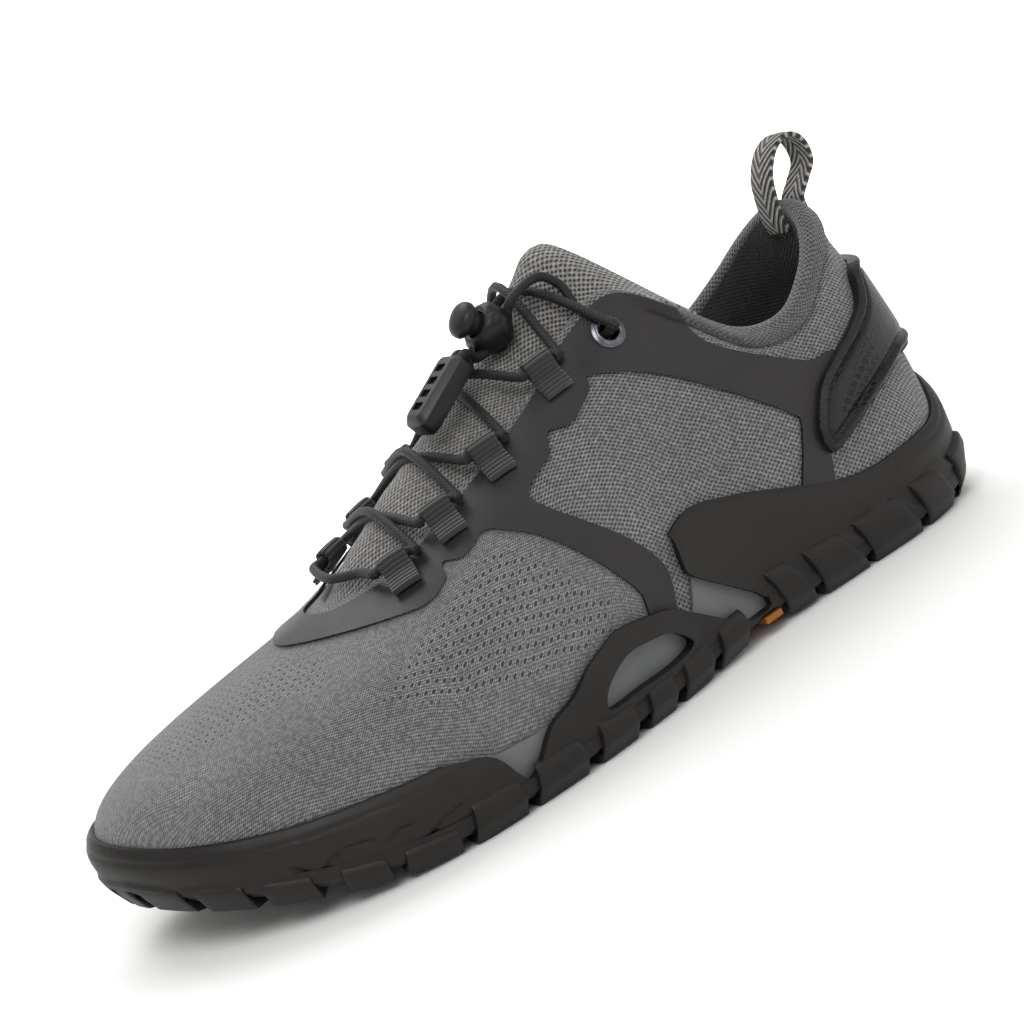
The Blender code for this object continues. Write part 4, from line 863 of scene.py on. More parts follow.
def knit_lay(u, v):
    """The sock: outer face, lip, lining and the lasting edge under the foot."""
    station, row = u * AROUND, round(v * KNIT_ROWS)
    if row <= OUTER_ROWS + BINDING_ROWS:
        return knit_face(station, outer_rise(row))
    row -= OUTER_ROWS + BINDING_ROWS
    if row <= LIP_ROWS:
        thick = knit_wall(station, 1.0)
        up = (bare_skin(station, 1.0) - bare_skin(station, 0.98)).normalized()
        turn = math.pi * row / LIP_ROWS
        middle = skin(station, 1.0, -thick / 2)
        across = skin_normal(station, 1.0) * thick / 2 * math.cos(turn)
        return middle + across + up * thick * LIP_HEIGHT * math.sin(turn)
    row -= LIP_ROWS
    if row <= LINING_ROWS:
        rise = 1 - row / LINING_ROWS
        return skin(station, rise, -knit_wall(station, rise))
    left = (KNIT_ROWS - round(v * KNIT_ROWS)) / 2
    return skin(station, 0.0, -knit_wall(station, 0.0) * left)


SOCK_COLUMNS = 300
BINDING_DEEP, LIP_DEEP, LINING_DEEP = 0.0065, 0.0060, 0.090
opening = [bare_skin(AROUND * k / SOCK_COLUMNS, 1.0) for k in range(SOCK_COLUMNS + 1)]
opening_length = [run for _, _, _, run in path_frames(opening)]


def knit_cloth(u, v, point):
    """Cloth coordinates of the sock; binding, lip and lining are measured along the opening."""
    row = round(v * KNIT_ROWS) - OUTER_ROWS
    if row <= 0:
        return side_cloth(u, v, point)
    down = BINDING_DEEP * min(row, BINDING_ROWS) / BINDING_ROWS
    down += LIP_DEEP * min(max(row - BINDING_ROWS, 0), LIP_ROWS) / LIP_ROWS
    down += LINING_DEEP * max(row - BINDING_ROWS - LIP_ROWS, 0) / LINING_ROWS
    return opening_length[round(u * SOCK_COLUMNS)], down


OPENWORK_FADE = 0.002
STATION_SHARE, RISE_SHARE = 0.02, 0.35  # roughly what one station and one rise are at the toes
toe_edge = [(a * STATION_SHARE, b * RISE_SHARE) for a, b in TOE_FAN + TOE_FAN[:1]]


def knit_mark(u, v, point):
    """1 where the outer face is openwork, fading to 0 at the field's edge."""
    station, row = u * AROUND, round(v * KNIT_ROWS)
    if row > OUTER_ROWS:
        return 0.0
    rise = outer_rise(row)
    along, high = seen(point)
    if inside(station, rise, TOE_FAN):
        away = edge_distance(station * STATION_SHARE, rise * RISE_SHARE, toe_edge)
    elif inside(along, high, SIDE_FAN):
        away = edge_distance(along, high, SIDE_FAN + SIDE_FAN[:1])
    else:
        return 0.0
    return ease(away / OPENWORK_FADE)


QUARTER_EDGE = (
    (0.472, 0.0), (0.472, 0.22), (0.472, 0.32), (0.484, 0.39), (0.509, 0.48), (0.538, 0.567), (0.565, 0.63),
    (0.600, 0.66), (0.600, 1.4), (-0.1, 1.4), (-0.1, 0.0),
)


PUNCH_RADIUS, PUNCH_REACH = 0.0030, 0.008


def eyelet_place(hand):
    """Centre of an eyelet on the skin, and its axis."""
    station = on_side(EYELET_STATION, hand)
    return skin(station, EYELET_RISE), skin_normal(station, EYELET_RISE)


def eyelet_holes():
    """The cuts for both eyelets: round punches along their axes."""
    profile = [
        (0.0, -PUNCH_REACH), (PUNCH_RADIUS, -PUNCH_REACH), (PUNCH_RADIUS, PUNCH_REACH), (0.0, PUNCH_REACH)
    ]
    return [
        ("DIFFERENCE", as_object(f"punch_{hand}", turned_shape(profile, *eyelet_place(hand), 32)))
        for hand in (-1, 1)
    ]


def knit_paint(u, v, point):
    """The knit's finish: 0 vamp, 1 quarter, 2 collar binding, 3 lining."""
    row, station = v * KNIT_ROWS, u * AROUND
    if row > OUTER_ROWS + BINDING_ROWS + LIP_ROWS:
        return 3
    if row > OUTER_ROWS and min(station, AROUND - station) < 6.9:
        return 2
    return 1 if inside(*seen(point), QUARTER_EDGE) else 0


sock = closed_grid(SOCK_COLUMNS, KNIT_ROWS, knit_lay, knit_cloth, knit_mark, knit_paint)
sock = cut_by(sock, *eyelet_holes())
upper = finished(
    "upper_knit", sock, [VAMP_KNIT, QUARTER_KNIT, COLLAR_MESH, LINING], replaces=("upper",)
)

# %% [markdown]
# ## The welded film
# The overlay is cut from sheet and welded on with heat. It is a thin shell over the whole side, and
# its shape is cut out by a block with the film's outline, seen from the side. It follows every
# crease of the knit under it.

# %% The film
FILM_OUTLINE = (
    (0.800, 0.559), (0.702, 0.557), (0.685, 0.558), (0.670, 0.569), (0.654, 0.592),
    (0.650, 0.608), (0.644, 0.620), (0.633, 0.614), (0.618, 0.626), (0.600, 0.645), (0.585, 0.625),
    (0.563, 0.581), (0.533, 0.488), (0.506, 0.385), (0.492, 0.315), (0.490, 0.236), (0.454, 0.210),
    (0.457, 0.235), (0.451, 0.320), (0.461, 0.390), (0.485, 0.475), (0.514, 0.554), (0.540, 0.628),
    (0.546, 0.673), (0.518, 0.711), (0.505, 0.726), (0.492, 0.770), (0.484, 0.771), (0.468, 0.766),
    (0.447, 0.794), (0.431, 0.822), (0.426, 0.845), (0.412, 0.835), (0.386, 0.807), (0.349, 0.749),
    (0.297, 0.640), (0.263, 0.563), (0.235, 0.492), (0.229, 0.453), (0.257, 0.309), (0.258, 0.280),
    (0.222, 0.252), (0.213, 0.300), (0.205, 0.370), (0.180, 0.430), (0.155, 0.520), (0.148, 0.570),
    (0.159, 0.580), (0.182, 0.585), (0.216, 0.635), (0.256, 0.701), (0.289, 0.773), (0.300, 0.840),
)
ABOVE_ALL = 1.4
FILM_ROWS, FILM_LOW, FILM_HIGH = 36, 0.12, 0.972


def softened(outline, first_x, last_x):
    """An open outline made smooth and closed high above the shoe."""
    return [Vector((first_x, ABOVE_ALL))] + smooth_path(outline, 4) + [Vector((last_x, ABOVE_ALL))]


def shell_row(v, rows):
    """Which row of a shell with two faces this is, and whether it is on the outer face."""
    row = round(v * (2 * rows + 2)) % (2 * rows + 2)
    return (row, True) if row <= rows else (2 * rows + 1 - row, False)


def film_lay(u, v):
    """The film's outer face down from the top, then its inner face back up."""
    step, outer = shell_row(v, FILM_ROWS)
    rise = FILM_HIGH - (FILM_HIGH - FILM_LOW) * step / FILM_ROWS
    return knit_face(u * AROUND, rise, FILM_OUTSIDE if outer else GAP)


film = closed_grid(300, 2 * FILM_ROWS + 2, film_lay, side_cloth)
film = cut_by(
    film,
    ("INTERSECT", side_cutter("film_outline", softened(FILM_OUTLINE, 0.800, 0.310))),
    *eyelet_holes(),
)
finished("overlay_film", film, FILM, replaces=("overlay",), sharp=50)

# %% [markdown]
# ## The rubber outsole
# The outsole is one moulding: a thin tread plate, a side wall that rises to a hood at the toe and a
# wing at the arch, windows cut in the wall, and lugs. The wall is a tray laid row by row. Grooves
# and pillows moulded in its side are small offsets, read from shapes drawn on the shoe's side. The
# windows are cut out by blocks.

# %% Relief of the rubber's side, in shares of length and height
GROOVES = (
    ((0.884, 0.122), (0.876, 0.142), (0.861, 0.158), (0.838, 0.150)),
    ((0.827, 0.125), (0.814, 0.144), (0.799, 0.135)),
    ((0.794, 0.085), (0.773, 0.113), (0.752, 0.121)),
    ((0.791, 0.085), (0.761, 0.078), (0.699, 0.075)),
    ((0.906, 0.165), (0.900, 0.154), (0.889, 0.125)),
)
GROOVE_HALF, GROOVE_DEPTH = 0.0007, 0.0008
PILLOWS = (
    ((0.111, 0.168), (0.079, 0.166), (0.050, 0.104), (0.111, 0.104)),
    ((0.195, 0.158), (0.173, 0.158), (0.142, 0.117), (0.131, 0.078), (0.185, 0.078)),
    ((0.270, 0.135), (0.255, 0.151), (0.217, 0.117), (0.202, 0.077), (0.262, 0.077)),
    ((0.344, 0.140), (0.327, 0.152), (0.285, 0.095), (0.268, 0.083), (0.335, 0.083)),
    ((1.020, 0.244), (1.002, 0.242), (0.985, 0.213), (0.982, 0.198), (0.965, 0.203), (0.949, 0.186),
     (0.941, 0.159), (0.941, 0.080), (1.020, 0.080)),
)
PILLOW_RISE, PILLOW_SLOPE = 0.0008, 0.0012
RUBBER_TRIM = (
    (0.434, 0.386), (0.436, 0.325), (0.427, 0.275), (0.348, 0.104), (0.379, 0.082),
    (0.443, 0.195), (0.467, 0.241), (0.500, 0.267), (0.538, 0.283), (0.559, 0.270), (0.585, 0.246),
    (0.613, 0.203), (0.646, 0.171), (0.681, 0.082), (0.708, 0.180), (0.730, 0.206), (0.760, 0.229),
)
ARCH_WINDOW = (
    (0.581, 0.122), (0.575, 0.176), (0.543, 0.219), (0.511, 0.214), (0.482, 0.194), (0.460, 0.136),
    (0.487, 0.117), (0.537, 0.119),
)
WINDOW_RIM, WINDOW_RIM_RISE = 0.0016, 0.0007


def side_relief(point):
    """Height of the moulded relief at a point on the rubber's side."""
    along, high = seen(point)
    height = 0.0
    for line in GROOVES:
        if min(p[0] for p in line) - 0.02 < along < max(p[0] for p in line) + 0.02:
            height -= GROOVE_DEPTH * bell(edge_distance(along, high, line), GROOVE_HALF)
    for outline in PILLOWS:
        if inside(along, high, outline):
            away = edge_distance(along, high, outline + outline[:1])
            height += PILLOW_RISE * ease(away / PILLOW_SLOPE)
    if 0.44 < along < 0.61:
        away = edge_distance(along, high, ARCH_WINDOW + ARCH_WINDOW[:1])
        height += WINDOW_RIM_RISE * ease(2 - away / WINDOW_RIM)
    return height


# %% The tray
TREAD_EDGE = 0.0006
SOLE_EDGE_LOW, SOLE_EDGE_OUT, SOLE_EDGE_HEIGHT = 0.0036, 0.0042, 0.0054
PLATE_TOP = LUG_DEPTH + OUTSOLE_PLATE
WALL_ROWS, RUBBER_LIP, INNER_WALL_ROWS = 26, 4, 6
TRAY_ROWS = 4 + WALL_ROWS + RUBBER_LIP + INNER_WALL_ROWS + 2
GROOVE_DOWN, GROOVE_FINE, GROOVE_WIDE = 0.0028, 0.0003, 0.0005  # a fine groove under the top edge
TOP_EDGE, TOP_TAPER, FLUSH = 0.0014, 0.0060, 0.0


def tray_profile(station, row):
    """A point of the tray, counted from the tread's edge up the wall, over and down inside."""
    if row <= 3:
        out, height = (
            (TREAD_EDGE, LUG_DEPTH), (SOLE_EDGE_LOW, SOLE_EDGE_HEIGHT), (SOLE_EDGE_OUT, SEAT),
        )[row - 1]
        return sole_point(station, out, height)
    top = rubber_rise(station)
    row -= 3
    if row <= WALL_ROWS:
        share = ease(row / WALL_ROWS) ** 0.8
        point = bare_skin(station, top * share)
        down = (bare_skin(station, top) - point).length
        out = RUBBER_FOOT + (RUBBER_OUTSIDE - RUBBER_FOOT) * share
        out -= (RUBBER_OUTSIDE - TOP_EDGE) * (1 - min(1.0, down / TOP_TAPER)) ** 2
        out -= GROOVE_FINE * bell(down - GROOVE_DOWN, GROOVE_WIDE)
        normal = skin_normal(station, top * share)
        point += normal * out
        return point + normal * side_relief(point)
    row -= WALL_ROWS
    middle, half = (TOP_EDGE + FLUSH) / 2, (TOP_EDGE - FLUSH) / 2
    if row < RUBBER_LIP:
        turn = math.pi * row / RUBBER_LIP
        up = (bare_skin(station, top) - bare_skin(station, top - 0.02)).normalized()
        return skin(station, top, middle + half * math.cos(turn)) + up * half * 0.6 * math.sin(turn)
    row -= RUBBER_LIP
    if row <= INNER_WALL_ROWS:
        return skin(station, top * (1 - row / INNER_WALL_ROWS), RUBBER_INSIDE)
    return sole_point(station, RUBBER_INSIDE, PLATE_TOP)


tray = closed_grid(560, TRAY_ROWS, tray_lay(TRAY_ROWS, tray_profile), side_cloth)
tray = cut_by(
    tray,
    ("DIFFERENCE", side_cutter("rubber_trim", softened(RUBBER_TRIM, 0.436, 0.760))),
    ("DIFFERENCE", side_cutter("arch_window", [
        Vector(smooth_row(ARCH_WINDOW, k / 4)) for k in range(4 * len(ARCH_WINDOW))
    ])),
)
print("tray faces", len(tray.faces))

# %% [markdown]
# ### Lugs
# Edge lugs wrap from the tread up the side of the sole. Inner lugs stand in rows under the foot,
# turned like half chevrons. Each is a small closed block with its edges bevelled, as a mould leaves
# them.

# %% Lugs
EDGE_LUGS = (
    (1.20, 2.10), (2.35, 3.05), (3.20, 4.10), (4.20, 4.95), (5.10, 5.60), (6.40, 6.95), (7.10, 7.65),
    (7.80, 8.30), (8.50, 9.15), (9.35, 10.15), (10.30, 11.05), (11.20, 11.85), (12.00, 12.50),
    (12.75, 13.30), (13.45, 14.00), (14.15, 14.70),
)
LUG_TOP_INSIDE = [(RUBBER_INSIDE + 0.0006, LUG_DEPTH + 0.0006), (-0.011, LUG_DEPTH + 0.0006)]
# one outline each for heel, forefoot and toe: distance out and height, from inside the tread
LUG_OUTLINES = {
    "heel": [(-0.011, 0.0), (0.0008, 0.0), (0.0046, 0.0050), (0.0062, 0.0110), (0.0060, 0.0150),
             (0.0040, 0.0170)],
    "forefoot": [(-0.011, 0.0), (0.0008, 0.0), (0.0048, 0.0052), (0.0055, 0.0085), (0.0050, 0.0108),
                 (0.0034, 0.0124)],
    "toe": [(-0.011, 0.0), (0.0006, 0.0), (0.0036, 0.0040), (0.0046, 0.0058), (0.0044, 0.0070),
            (0.0034, 0.0080)],
}
HEEL_LUG_LEAN, LUG_PINCH, LUG_PINCH_HEIGHT, LUG_LEAN_HEIGHT = 0.42, 0.10, 0.016, 0.017
HEEL_LUGS_END, FOREFOOT_LUGS_END = 5.8, 11  # in stations from the heel
LUG_ROWS = (0.120, 0.180, 0.240, 0.460, 0.520, 0.580, 0.640, 0.700, 0.760, 0.820, 0.880)
LUG_LENGTH, LUG_WIDTH, LUG_TURN, LUG_TAPER = 0.0100, 0.0115, 0.35, 0.85
LUG_MARGIN, LUG_PITCH = 0.0135, 0.0165


def softened_edges(shape, offset):
    """Bevel every edge of a shape that turns by more than 20 degrees."""
    edges = [edge for edge in shape.edges if edge.calc_face_angle(0) > math.radians(20)]
    bmesh.ops.bevel(
        shape, geom=edges, offset=offset, segments=2, profile=0.5, affect="EDGES", material=-1,
        clamp_overlap=True,
    )
    return shape


def edge_lug(start, end):
    """One lug that wraps from the tread up the side; heel lugs lean forward, toe lugs stay low."""
    hand = -1 if start >= AROUND / 2 + 0.5 else 1
    near = min(abs(start), AROUND - abs(start))
    kind = "heel" if near < HEEL_LUGS_END else "forefoot" if near < FOREFOOT_LUGS_END else "toe"
    outline = LUG_OUTLINES[kind] + LUG_TOP_INSIDE
    count = len(outline)
    leans = kind == "heel" and start > 0

    def lay(u, v):
        out, height = outline[round(v * count) % count]
        lean = hand * HEEL_LUG_LEAN * height / LUG_LEAN_HEIGHT if leans else 0.0
        pinch = LUG_PINCH * (2 * u - 1) * ease(height / LUG_PINCH_HEIGHT)
        return sole_point(start + (end - start) * (u - pinch) + lean, out, height)

    return softened_edges(closed_grid(6, count, lay, side_cloth), 0.0008)


def sole_edges(share):
    """Lateral and medial edges of the last at a share of the length."""
    edges = []
    for first in (0, AROUND // 2):
        rows = [smooth_row(STATIONS, first + k / 10) for k in range(AROUND * 5 + 1)]
        near = min(rows, key=lambda row: abs(row[0] - share))
        edges.append(near[1] * width_at(near[0]))
    return edges


def inner_lug(centre, turn):
    """One lug under the foot, narrower at the floor."""
    shape = bmesh.new()
    bmesh.ops.create_cube(shape, size=1.0)
    for vertex in shape.verts:
        size = LUG_TAPER if vertex.co.z < 0 else 1.0
        height = 0.0 if vertex.co.z < 0 else LUG_DEPTH + 0.0006
        flat = Vector((vertex.co.x * LUG_LENGTH * size, vertex.co.y * LUG_WIDTH * size, 0))
        flat.rotate(Matrix.Rotation(turn, 3, "Z"))
        vertex.co = centre + flat
        vertex.co.z = height + spring_at(share_of(vertex.co))
    return softened_edges(shape, 0.0006)


def joined(shapes):
    """Several shapes as one bmesh."""
    whole = bmesh.new()
    for shape in shapes:
        mesh = as_object("part", shape).data
        whole.from_mesh(mesh)
        bpy.data.meshes.remove(mesh)
    return whole


lugs = [edge_lug(a, b) for a, b in EDGE_LUGS + ((-0.60, 0.60), (14.85, 15.15))]
lugs += [edge_lug(AROUND - b, AROUND - a) for a, b in EDGE_LUGS]
for share in LUG_ROWS:
    lateral, medial = sole_edges(share)
    usable = medial - lateral - 2 * LUG_MARGIN
    count = max(1, int(usable / LUG_PITCH))
    for k in range(count):
        offset = (k - (count - 1) / 2) * usable / count
        turn = math.copysign(LUG_TURN, offset) if offset else 0.0
        lugs.append(inner_lug(spot(share, (lateral + medial) / 2 + offset, 0.0), turn))
print("lugs:", len(lugs))
finished("outsole_rubber", joined([tray] + lugs), RUBBER, replaces=("outsole",), sharp=32)

# %% [markdown]
# ## Foam, insole and insert
# The grey foam shows only in the rubber's windows. It is a thin tray inside the rubber one. The
# insole is a flat plate with soft edges. The orange strip under the arch is already right, so it
# only gets its finish.

# %% The midsole
MIDSOLE_TRIM = (
    (0.340, 0.360), (0.415, 0.330), (0.427, 0.277), (0.441, 0.190), (0.460, 0.195),
    (0.483, 0.215), (0.500, 0.232), (0.538, 0.250), (0.575, 0.222), (0.612, 0.178), (0.646, 0.170),
    (0.708, 0.179), (0.730, 0.170), (0.760, 0.185),
)
FOAM_ROWS = 8
FOAM_TOP = 0.86  # of the rubber's own rise


def foam_profile(station, row):
    """The foam from the plate's edge up outside, over and down inside."""
    if row == 1:
        return sole_point(station, FILM_OUTSIDE - GAP, PLATE_TOP + GAP)
    row -= 2
    top = rubber_rise(station) * FOAM_TOP
    if row <= FOAM_ROWS:
        return skin(station, top * row / FOAM_ROWS, FILM_OUTSIDE)
    row -= FOAM_ROWS + 1
    if row <= FOAM_ROWS:
        return skin(station, top * (1 - row / FOAM_ROWS), GAP)
    return sole_point(station, 0.0, SEAT - GAP)


rows = 2 * FOAM_ROWS + 5
foam = closed_grid(300, rows, tray_lay(rows, foam_profile), side_cloth)
foam = cut_by(foam, ("DIFFERENCE", side_cutter("foam_trim", softened(MIDSOLE_TRIM, 0.340, 0.760))))
finished("midsole_foam", foam, FOAM, replaces=("midsole",))

# %% The insole and the arch insert
INSET = -(KNIT_WALL + 3 * GAP)
INSOLE_EDGE = ((0.0010, 0.0), (0.0, 0.0008), (0.0, 0.0022), (0.0010, INSOLE_THICKNESS))


def insole_profile(station, row):
    """The insole's edge, rounded above and below."""
    inward, height = INSOLE_EDGE[row - 1]
    return sole_point(station, INSET - inward, SEAT + height)


rows = len(INSOLE_EDGE) + 1
insole = closed_grid(160, rows, tray_lay(rows, insole_profile), lambda u, v, point: (point.x, point.y))
finished("insole_pad", insole, LINING, replaces=("insole",))
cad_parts["arch_insert"].material_slots[0].material = ORANGE
print("insole inset", INSET)

# %% [markdown]
# ## The tongue
# The tongue is spacer mesh, padded a little. It lies under both eyestays and stands above the
# collar. It is a sheet whose rows run from one side to the other over a ridge, swollen slightly
# between the bars of the lace, and a Solidify modifier gives it its thickness.

# %% The tongue
TONGUE_RIDGE = (
    (13.4, 16.8, 0.733, 0.0030, 0.0575), (12.9, 17.4, 0.703, 0.0030, 0.0610),
    (12.2, 18.2, 0.674, 0.0020, 0.0680), (11.4, 19.0, 0.632, 0.0015, 0.0755),
    (10.5, 19.9, 0.582, 0.0010, 0.0835), (9.6, 20.8, 0.530, 0.0010, 0.0903),
    (8.8, 21.7, 0.481, 0.0010, 0.0978), (8.0, 22.6, 0.432, 0.0010, 0.1070),
    (7.2, 23.2, 0.389, 0.0015, 0.1145), (6.4, 23.8, 0.361, 0.0020, 0.1195),
    (5.7, 24.3, 0.344, 0.0020, 0.1215),
)
LACE_BARS = (0.690, 0.640, 0.585, 0.520, 0.450)
TONGUE_COLUMNS, TONGUE_LINES = 60, 120
EYELET_ROOM, ROOM_STATION, ROOM_REACH = 0.0034, 7.3, 2.2  # the tongue keeps clear of the eyelets
# metres that it swells between the bars, stands fuller at its side, bends down at its top, and settles
BAR_SWELL, SIDE_FULLER, TOP_LOWER, SETTLE = 0.0006, 0.0040, 0.0026, 0.0009
SWELL_REACH, SWELL_TO, MIDDLE_HALF = 0.022, 0.72, 0.32


@lru_cache(maxsize=None)
def tongue_guide(line):
    """The seven guide points of the tongue across one line."""
    lateral, medial, along, across, height = smooth_row(TONGUE_RIDGE, line, False)
    ends = []
    for station in (lateral, medial):
        near = min(station, AROUND - station)
        room = GAP_TO_LACE + EYELET_ROOM * hump(near, ROOM_STATION, ROOM_REACH)
        ends.append([skin(station, rise, -knit_wall(station, rise) - room) for rise in (0.8, 0.9, 1.0)])
    return ends[0] + [spot(along, across, height)] + ends[1][::-1]


def tongue_lay(u, v):
    """A point of the tongue's face, swollen between the bars of the lace, pressed in by the lock."""
    guide = tongue_guide(v * (len(TONGUE_RIDGE) - 1))
    point = Vector(smooth_row(guide, u * (len(guide) - 1), False))
    middle = hump(u, 0.5, MIDDLE_HALF)
    along = share_of(point)
    near = min(abs(along - bar) for bar in LACE_BARS)
    swell = BAR_SWELL * ease(near / SWELL_REACH) if along < SWELL_TO else 0.0
    fuller = SIDE_FULLER * ease((v - 0.70) / 0.25) * hump(u, 0.24, 0.20)
    lower = -TOP_LOWER * ease((v - 0.86) / 0.14) * middle
    from_lock = (Vector(point.xy) - Vector(LOCK_CENTRE.xy)).length
    press = -LOCK_PRESS * bell(from_lock, LOCK_PRESS_REACH)
    settle = -SETTLE * middle * ease((0.88 - v) / 0.10)
    return point + Vector((0, 0, swell * middle + fuller + lower + press + settle))


tongue = facing_up(laid_grid(
    TONGUE_COLUMNS, TONGUE_LINES, tongue_lay, lambda u, v, point: (share_of(point) * LENGTH, point.y)
))
tongue = finished(
    "tongue_mesh", tongue, TONGUE_MESH, replaces=("tongue",), sheet=(TONGUE_THICKNESS, -1.0)
)

# %% [markdown]
# ## The heel clip
# A moulded clip wraps the back of the heel. It has a raised rim, a shallow groove inside it and a
# field of small pierced dots, darkened with painted shade. It is a shell between two offsets of the
# last, cut out by its outline.

# %% The heel clip
CLIP_OUTLINE = (
    (-0.060, 0.735), (0.060, 0.735), (0.075, 0.715), (0.086, 0.660), (0.098, 0.630), (0.127, 0.593),
    (0.158, 0.559), (0.185, 0.523), (0.201, 0.478), (0.215, 0.412), (0.212, 0.354), (0.202, 0.344),
    (0.170, 0.371), (0.134, 0.407), (0.090, 0.443), (0.066, 0.462), (-0.060, 0.462),
)
CLIP_FIELD = ((0.109, 0.564), (0.100, 0.484), (0.142, 0.417), (0.184, 0.408), (0.171, 0.461))
CLIP_ROWS, CLIP_LOW, CLIP_HIGH, CLIP_REACH = 90, 0.34, 0.94, 5.0
RIM_RISE, RIM_WIDTH, RIM_SLOPE = 0.0008, 0.0018, 0.0008
TROUGH_DEPTH, TROUGH_AWAY, TROUGH_HALF = 0.0011, 0.0034, 0.0008
CLIP_ROUND, CLIP_OUTSIDE = 0.0014, RUBBER_OUTSIDE - 0.0003
clip_edge = [Vector(p) for p in CLIP_OUTLINE[:1]] + smooth_path(CLIP_OUTLINE[1:-1], 4)
clip_edge += [Vector(p) for p in CLIP_OUTLINE[-1:]]


def clip_lay(u, v):
    """The clip's outer face with its rim and groove, then its inner face."""
    station = (2 * u - 1) * CLIP_REACH
    step, outer = shell_row(v, CLIP_ROWS)
    rise = CLIP_LOW + (CLIP_HIGH - CLIP_LOW) * step / CLIP_ROWS
    if not outer:
        return skin(station, rise, 0.0005)
    point = bare_skin(station, rise)
    away = edge_distance(*seen(point), clip_edge)
    rim = RIM_RISE * ease(1 - (away - RIM_WIDTH) / RIM_SLOPE)
    rim -= TROUGH_DEPTH * bell(away - TROUGH_AWAY, TROUGH_HALF)
    soft = -CLIP_ROUND * ease(1 - away / CLIP_ROUND)
    return point + skin_normal(station, rise) * (CLIP_OUTSIDE + rim + soft)


def clip_mark(u, v, point):
    """1 where the clip is pierced by small dots."""
    return 1.0 if inside(*seen(point), CLIP_FIELD) else 0.0


clip = closed_grid(260, 2 * CLIP_ROWS + 2, clip_lay, side_cloth, clip_mark)
clip = cut_by(clip, ("INTERSECT", side_cutter("clip_outline", clip_edge)))
finished("heel_clip_shell", clip, HEEL_TPU, replaces=("heel_clip",), sharp=45)

# %% [markdown]
# ## Webbing loops, lace and eyelets
# Eight grosgrain loops carry the lace. Each is a short tape folded back on itself: a sheet laid
# along the fold, with a Solidify modifier for its thickness. Its ribs run along the lace, as in the
# real tape.

# %% The loops
LOOP_PATH_STEPS = 6
SIDES = ((-1, "lateral"), (1, "medial"))


def loop_frame(k, hand):
    """Where a loop starts on the film, and its directions: to the opening, along the shoe and out."""
    station = on_side(LOOP_STATIONS[k], hand)
    origin = skin(station, LOOP_RISE, FILM_OUTSIDE + LOOP_SEAT)
    inward = (skin(station, 1.0, FILM_OUTSIDE + LOOP_SEAT) - origin).normalized()
    along = skin_normal(station, LOOP_RISE).cross(inward).normalized()
    return origin, inward, along, inward.cross(along)


def webbing_loop(k, hand):
    """One folded tape round the lace's tunnel."""
    origin, inward, along, normal = loop_frame(k, hand)
    fold = TUNNEL + WEBBING_THICKNESS
    hub = LOOP_LENGTH - fold
    bend = TUNNEL + WEBBING_THICKNESS / 2
    thick = WEBBING_THICKNESS
    line = [(0.0, 0.5 * thick), (hub * 0.5, 0.5 * thick)]
    line += [
        (hub + bend * math.cos(math.radians(a)), fold + bend * math.sin(math.radians(a)))
        for a in range(-90, 125, 30)
    ]
    line += [(hub * 0.60, 2.0 * thick), (hub * 0.3, 1.55 * thick), (0.0, 1.5 * thick)]
    path = smooth_path(line, LOOP_PATH_STEPS)
    steps = len(path) - 1

    def lay(u, v):
        s, h = path[round(u * steps)]
        crown = 0.0002 * (1 - (2 * v - 1) ** 2)
        return origin + inward * s + normal * (h + crown) + along * LOOP_WIDTH * (v - 0.5) * 0.97

    def cloth(u, v, _):
        run = sum((b - a).length for a, b in zip(path[:round(u * steps)], path[1:]))
        return run, v * LOOP_WIDTH

    return laid_grid(steps, 8, lay, cloth)


for hand, word in SIDES:
    for k in range(len(LOOP_STATIONS)):
        finished(
            f"webbing_{word}_{k + 1}", webbing_loop(k, hand), WEBBING,
            replaces=(f"loop_{word}_{k + 1}",), sharp=70, sheet=(WEBBING_THICKNESS * 0.92, 0.0),
        )


# %% [markdown]
# The lace is one elastic cord. It goes in at one eyelet, zigzags through all the loops, crosses in
# front of the lowest pair and comes back to the other eyelet. It is the same tube as the cord ends.

# %% The lace
def tongue_ridge(along):
    """Height of the tongue's ridge at a share of the length."""
    return read_line(sorted((row[2], row[4]) for row in TONGUE_RIDGE), along)


def through_loop(k, hand, upward):
    """Points of the lace through one loop, from its toe side up, or down."""
    origin, inward, along, normal = loop_frame(k, hand)
    fold = TUNNEL + WEBBING_THICKNESS
    centre = origin + inward * (LOOP_LENGTH - fold) + normal * fold
    if (along.x < 0) == upward:
        along = -along
    return [centre + along * LOOP_WIDTH / 2 * t for t in (-1.5, -1.1, 1.1, 1.5)]


def crossing(start, end, lift):
    """Middle point of a lace bar, above the tongue's ridge."""
    middle = (start + end) / 2
    middle.z = tongue_ridge(share_of(middle)) + CORD_RADIUS + GAP_TO_LACE + lift
    return middle


EXIT_OUT, EXIT_IN = 0.0042, 0.0018
eyelet_ends = []
for hand in (-1, 1):
    centre, axis = eyelet_place(hand)
    inward = Vector((0, -hand * 0.5, 1)).normalized()
    eyelet_ends.append([
        centre - axis * GAP, centre + axis * (RUBBER_OUTSIDE + GAP),
        centre + axis * EXIT_OUT + inward * EXIT_IN,
    ])
runs = [
    through_loop(3, 1, False), through_loop(2, -1, False), through_loop(1, 1, False),
    through_loop(0, -1, False), through_loop(0, 1, True), through_loop(1, -1, True),
    through_loop(2, 1, True), through_loop(3, -1, True),
]
lifts = [TOP_LIFT, 0.0, 0.0, LACE_LIFT, None, 0.0, LACE_LIFT, LACE_LIFT]
front_bar = [spot(0.690, -0.0105, 0.0685), spot(0.700, 0.003, 0.0680), spot(0.690, 0.0165, 0.0690)]
route = list(eyelet_ends[0])
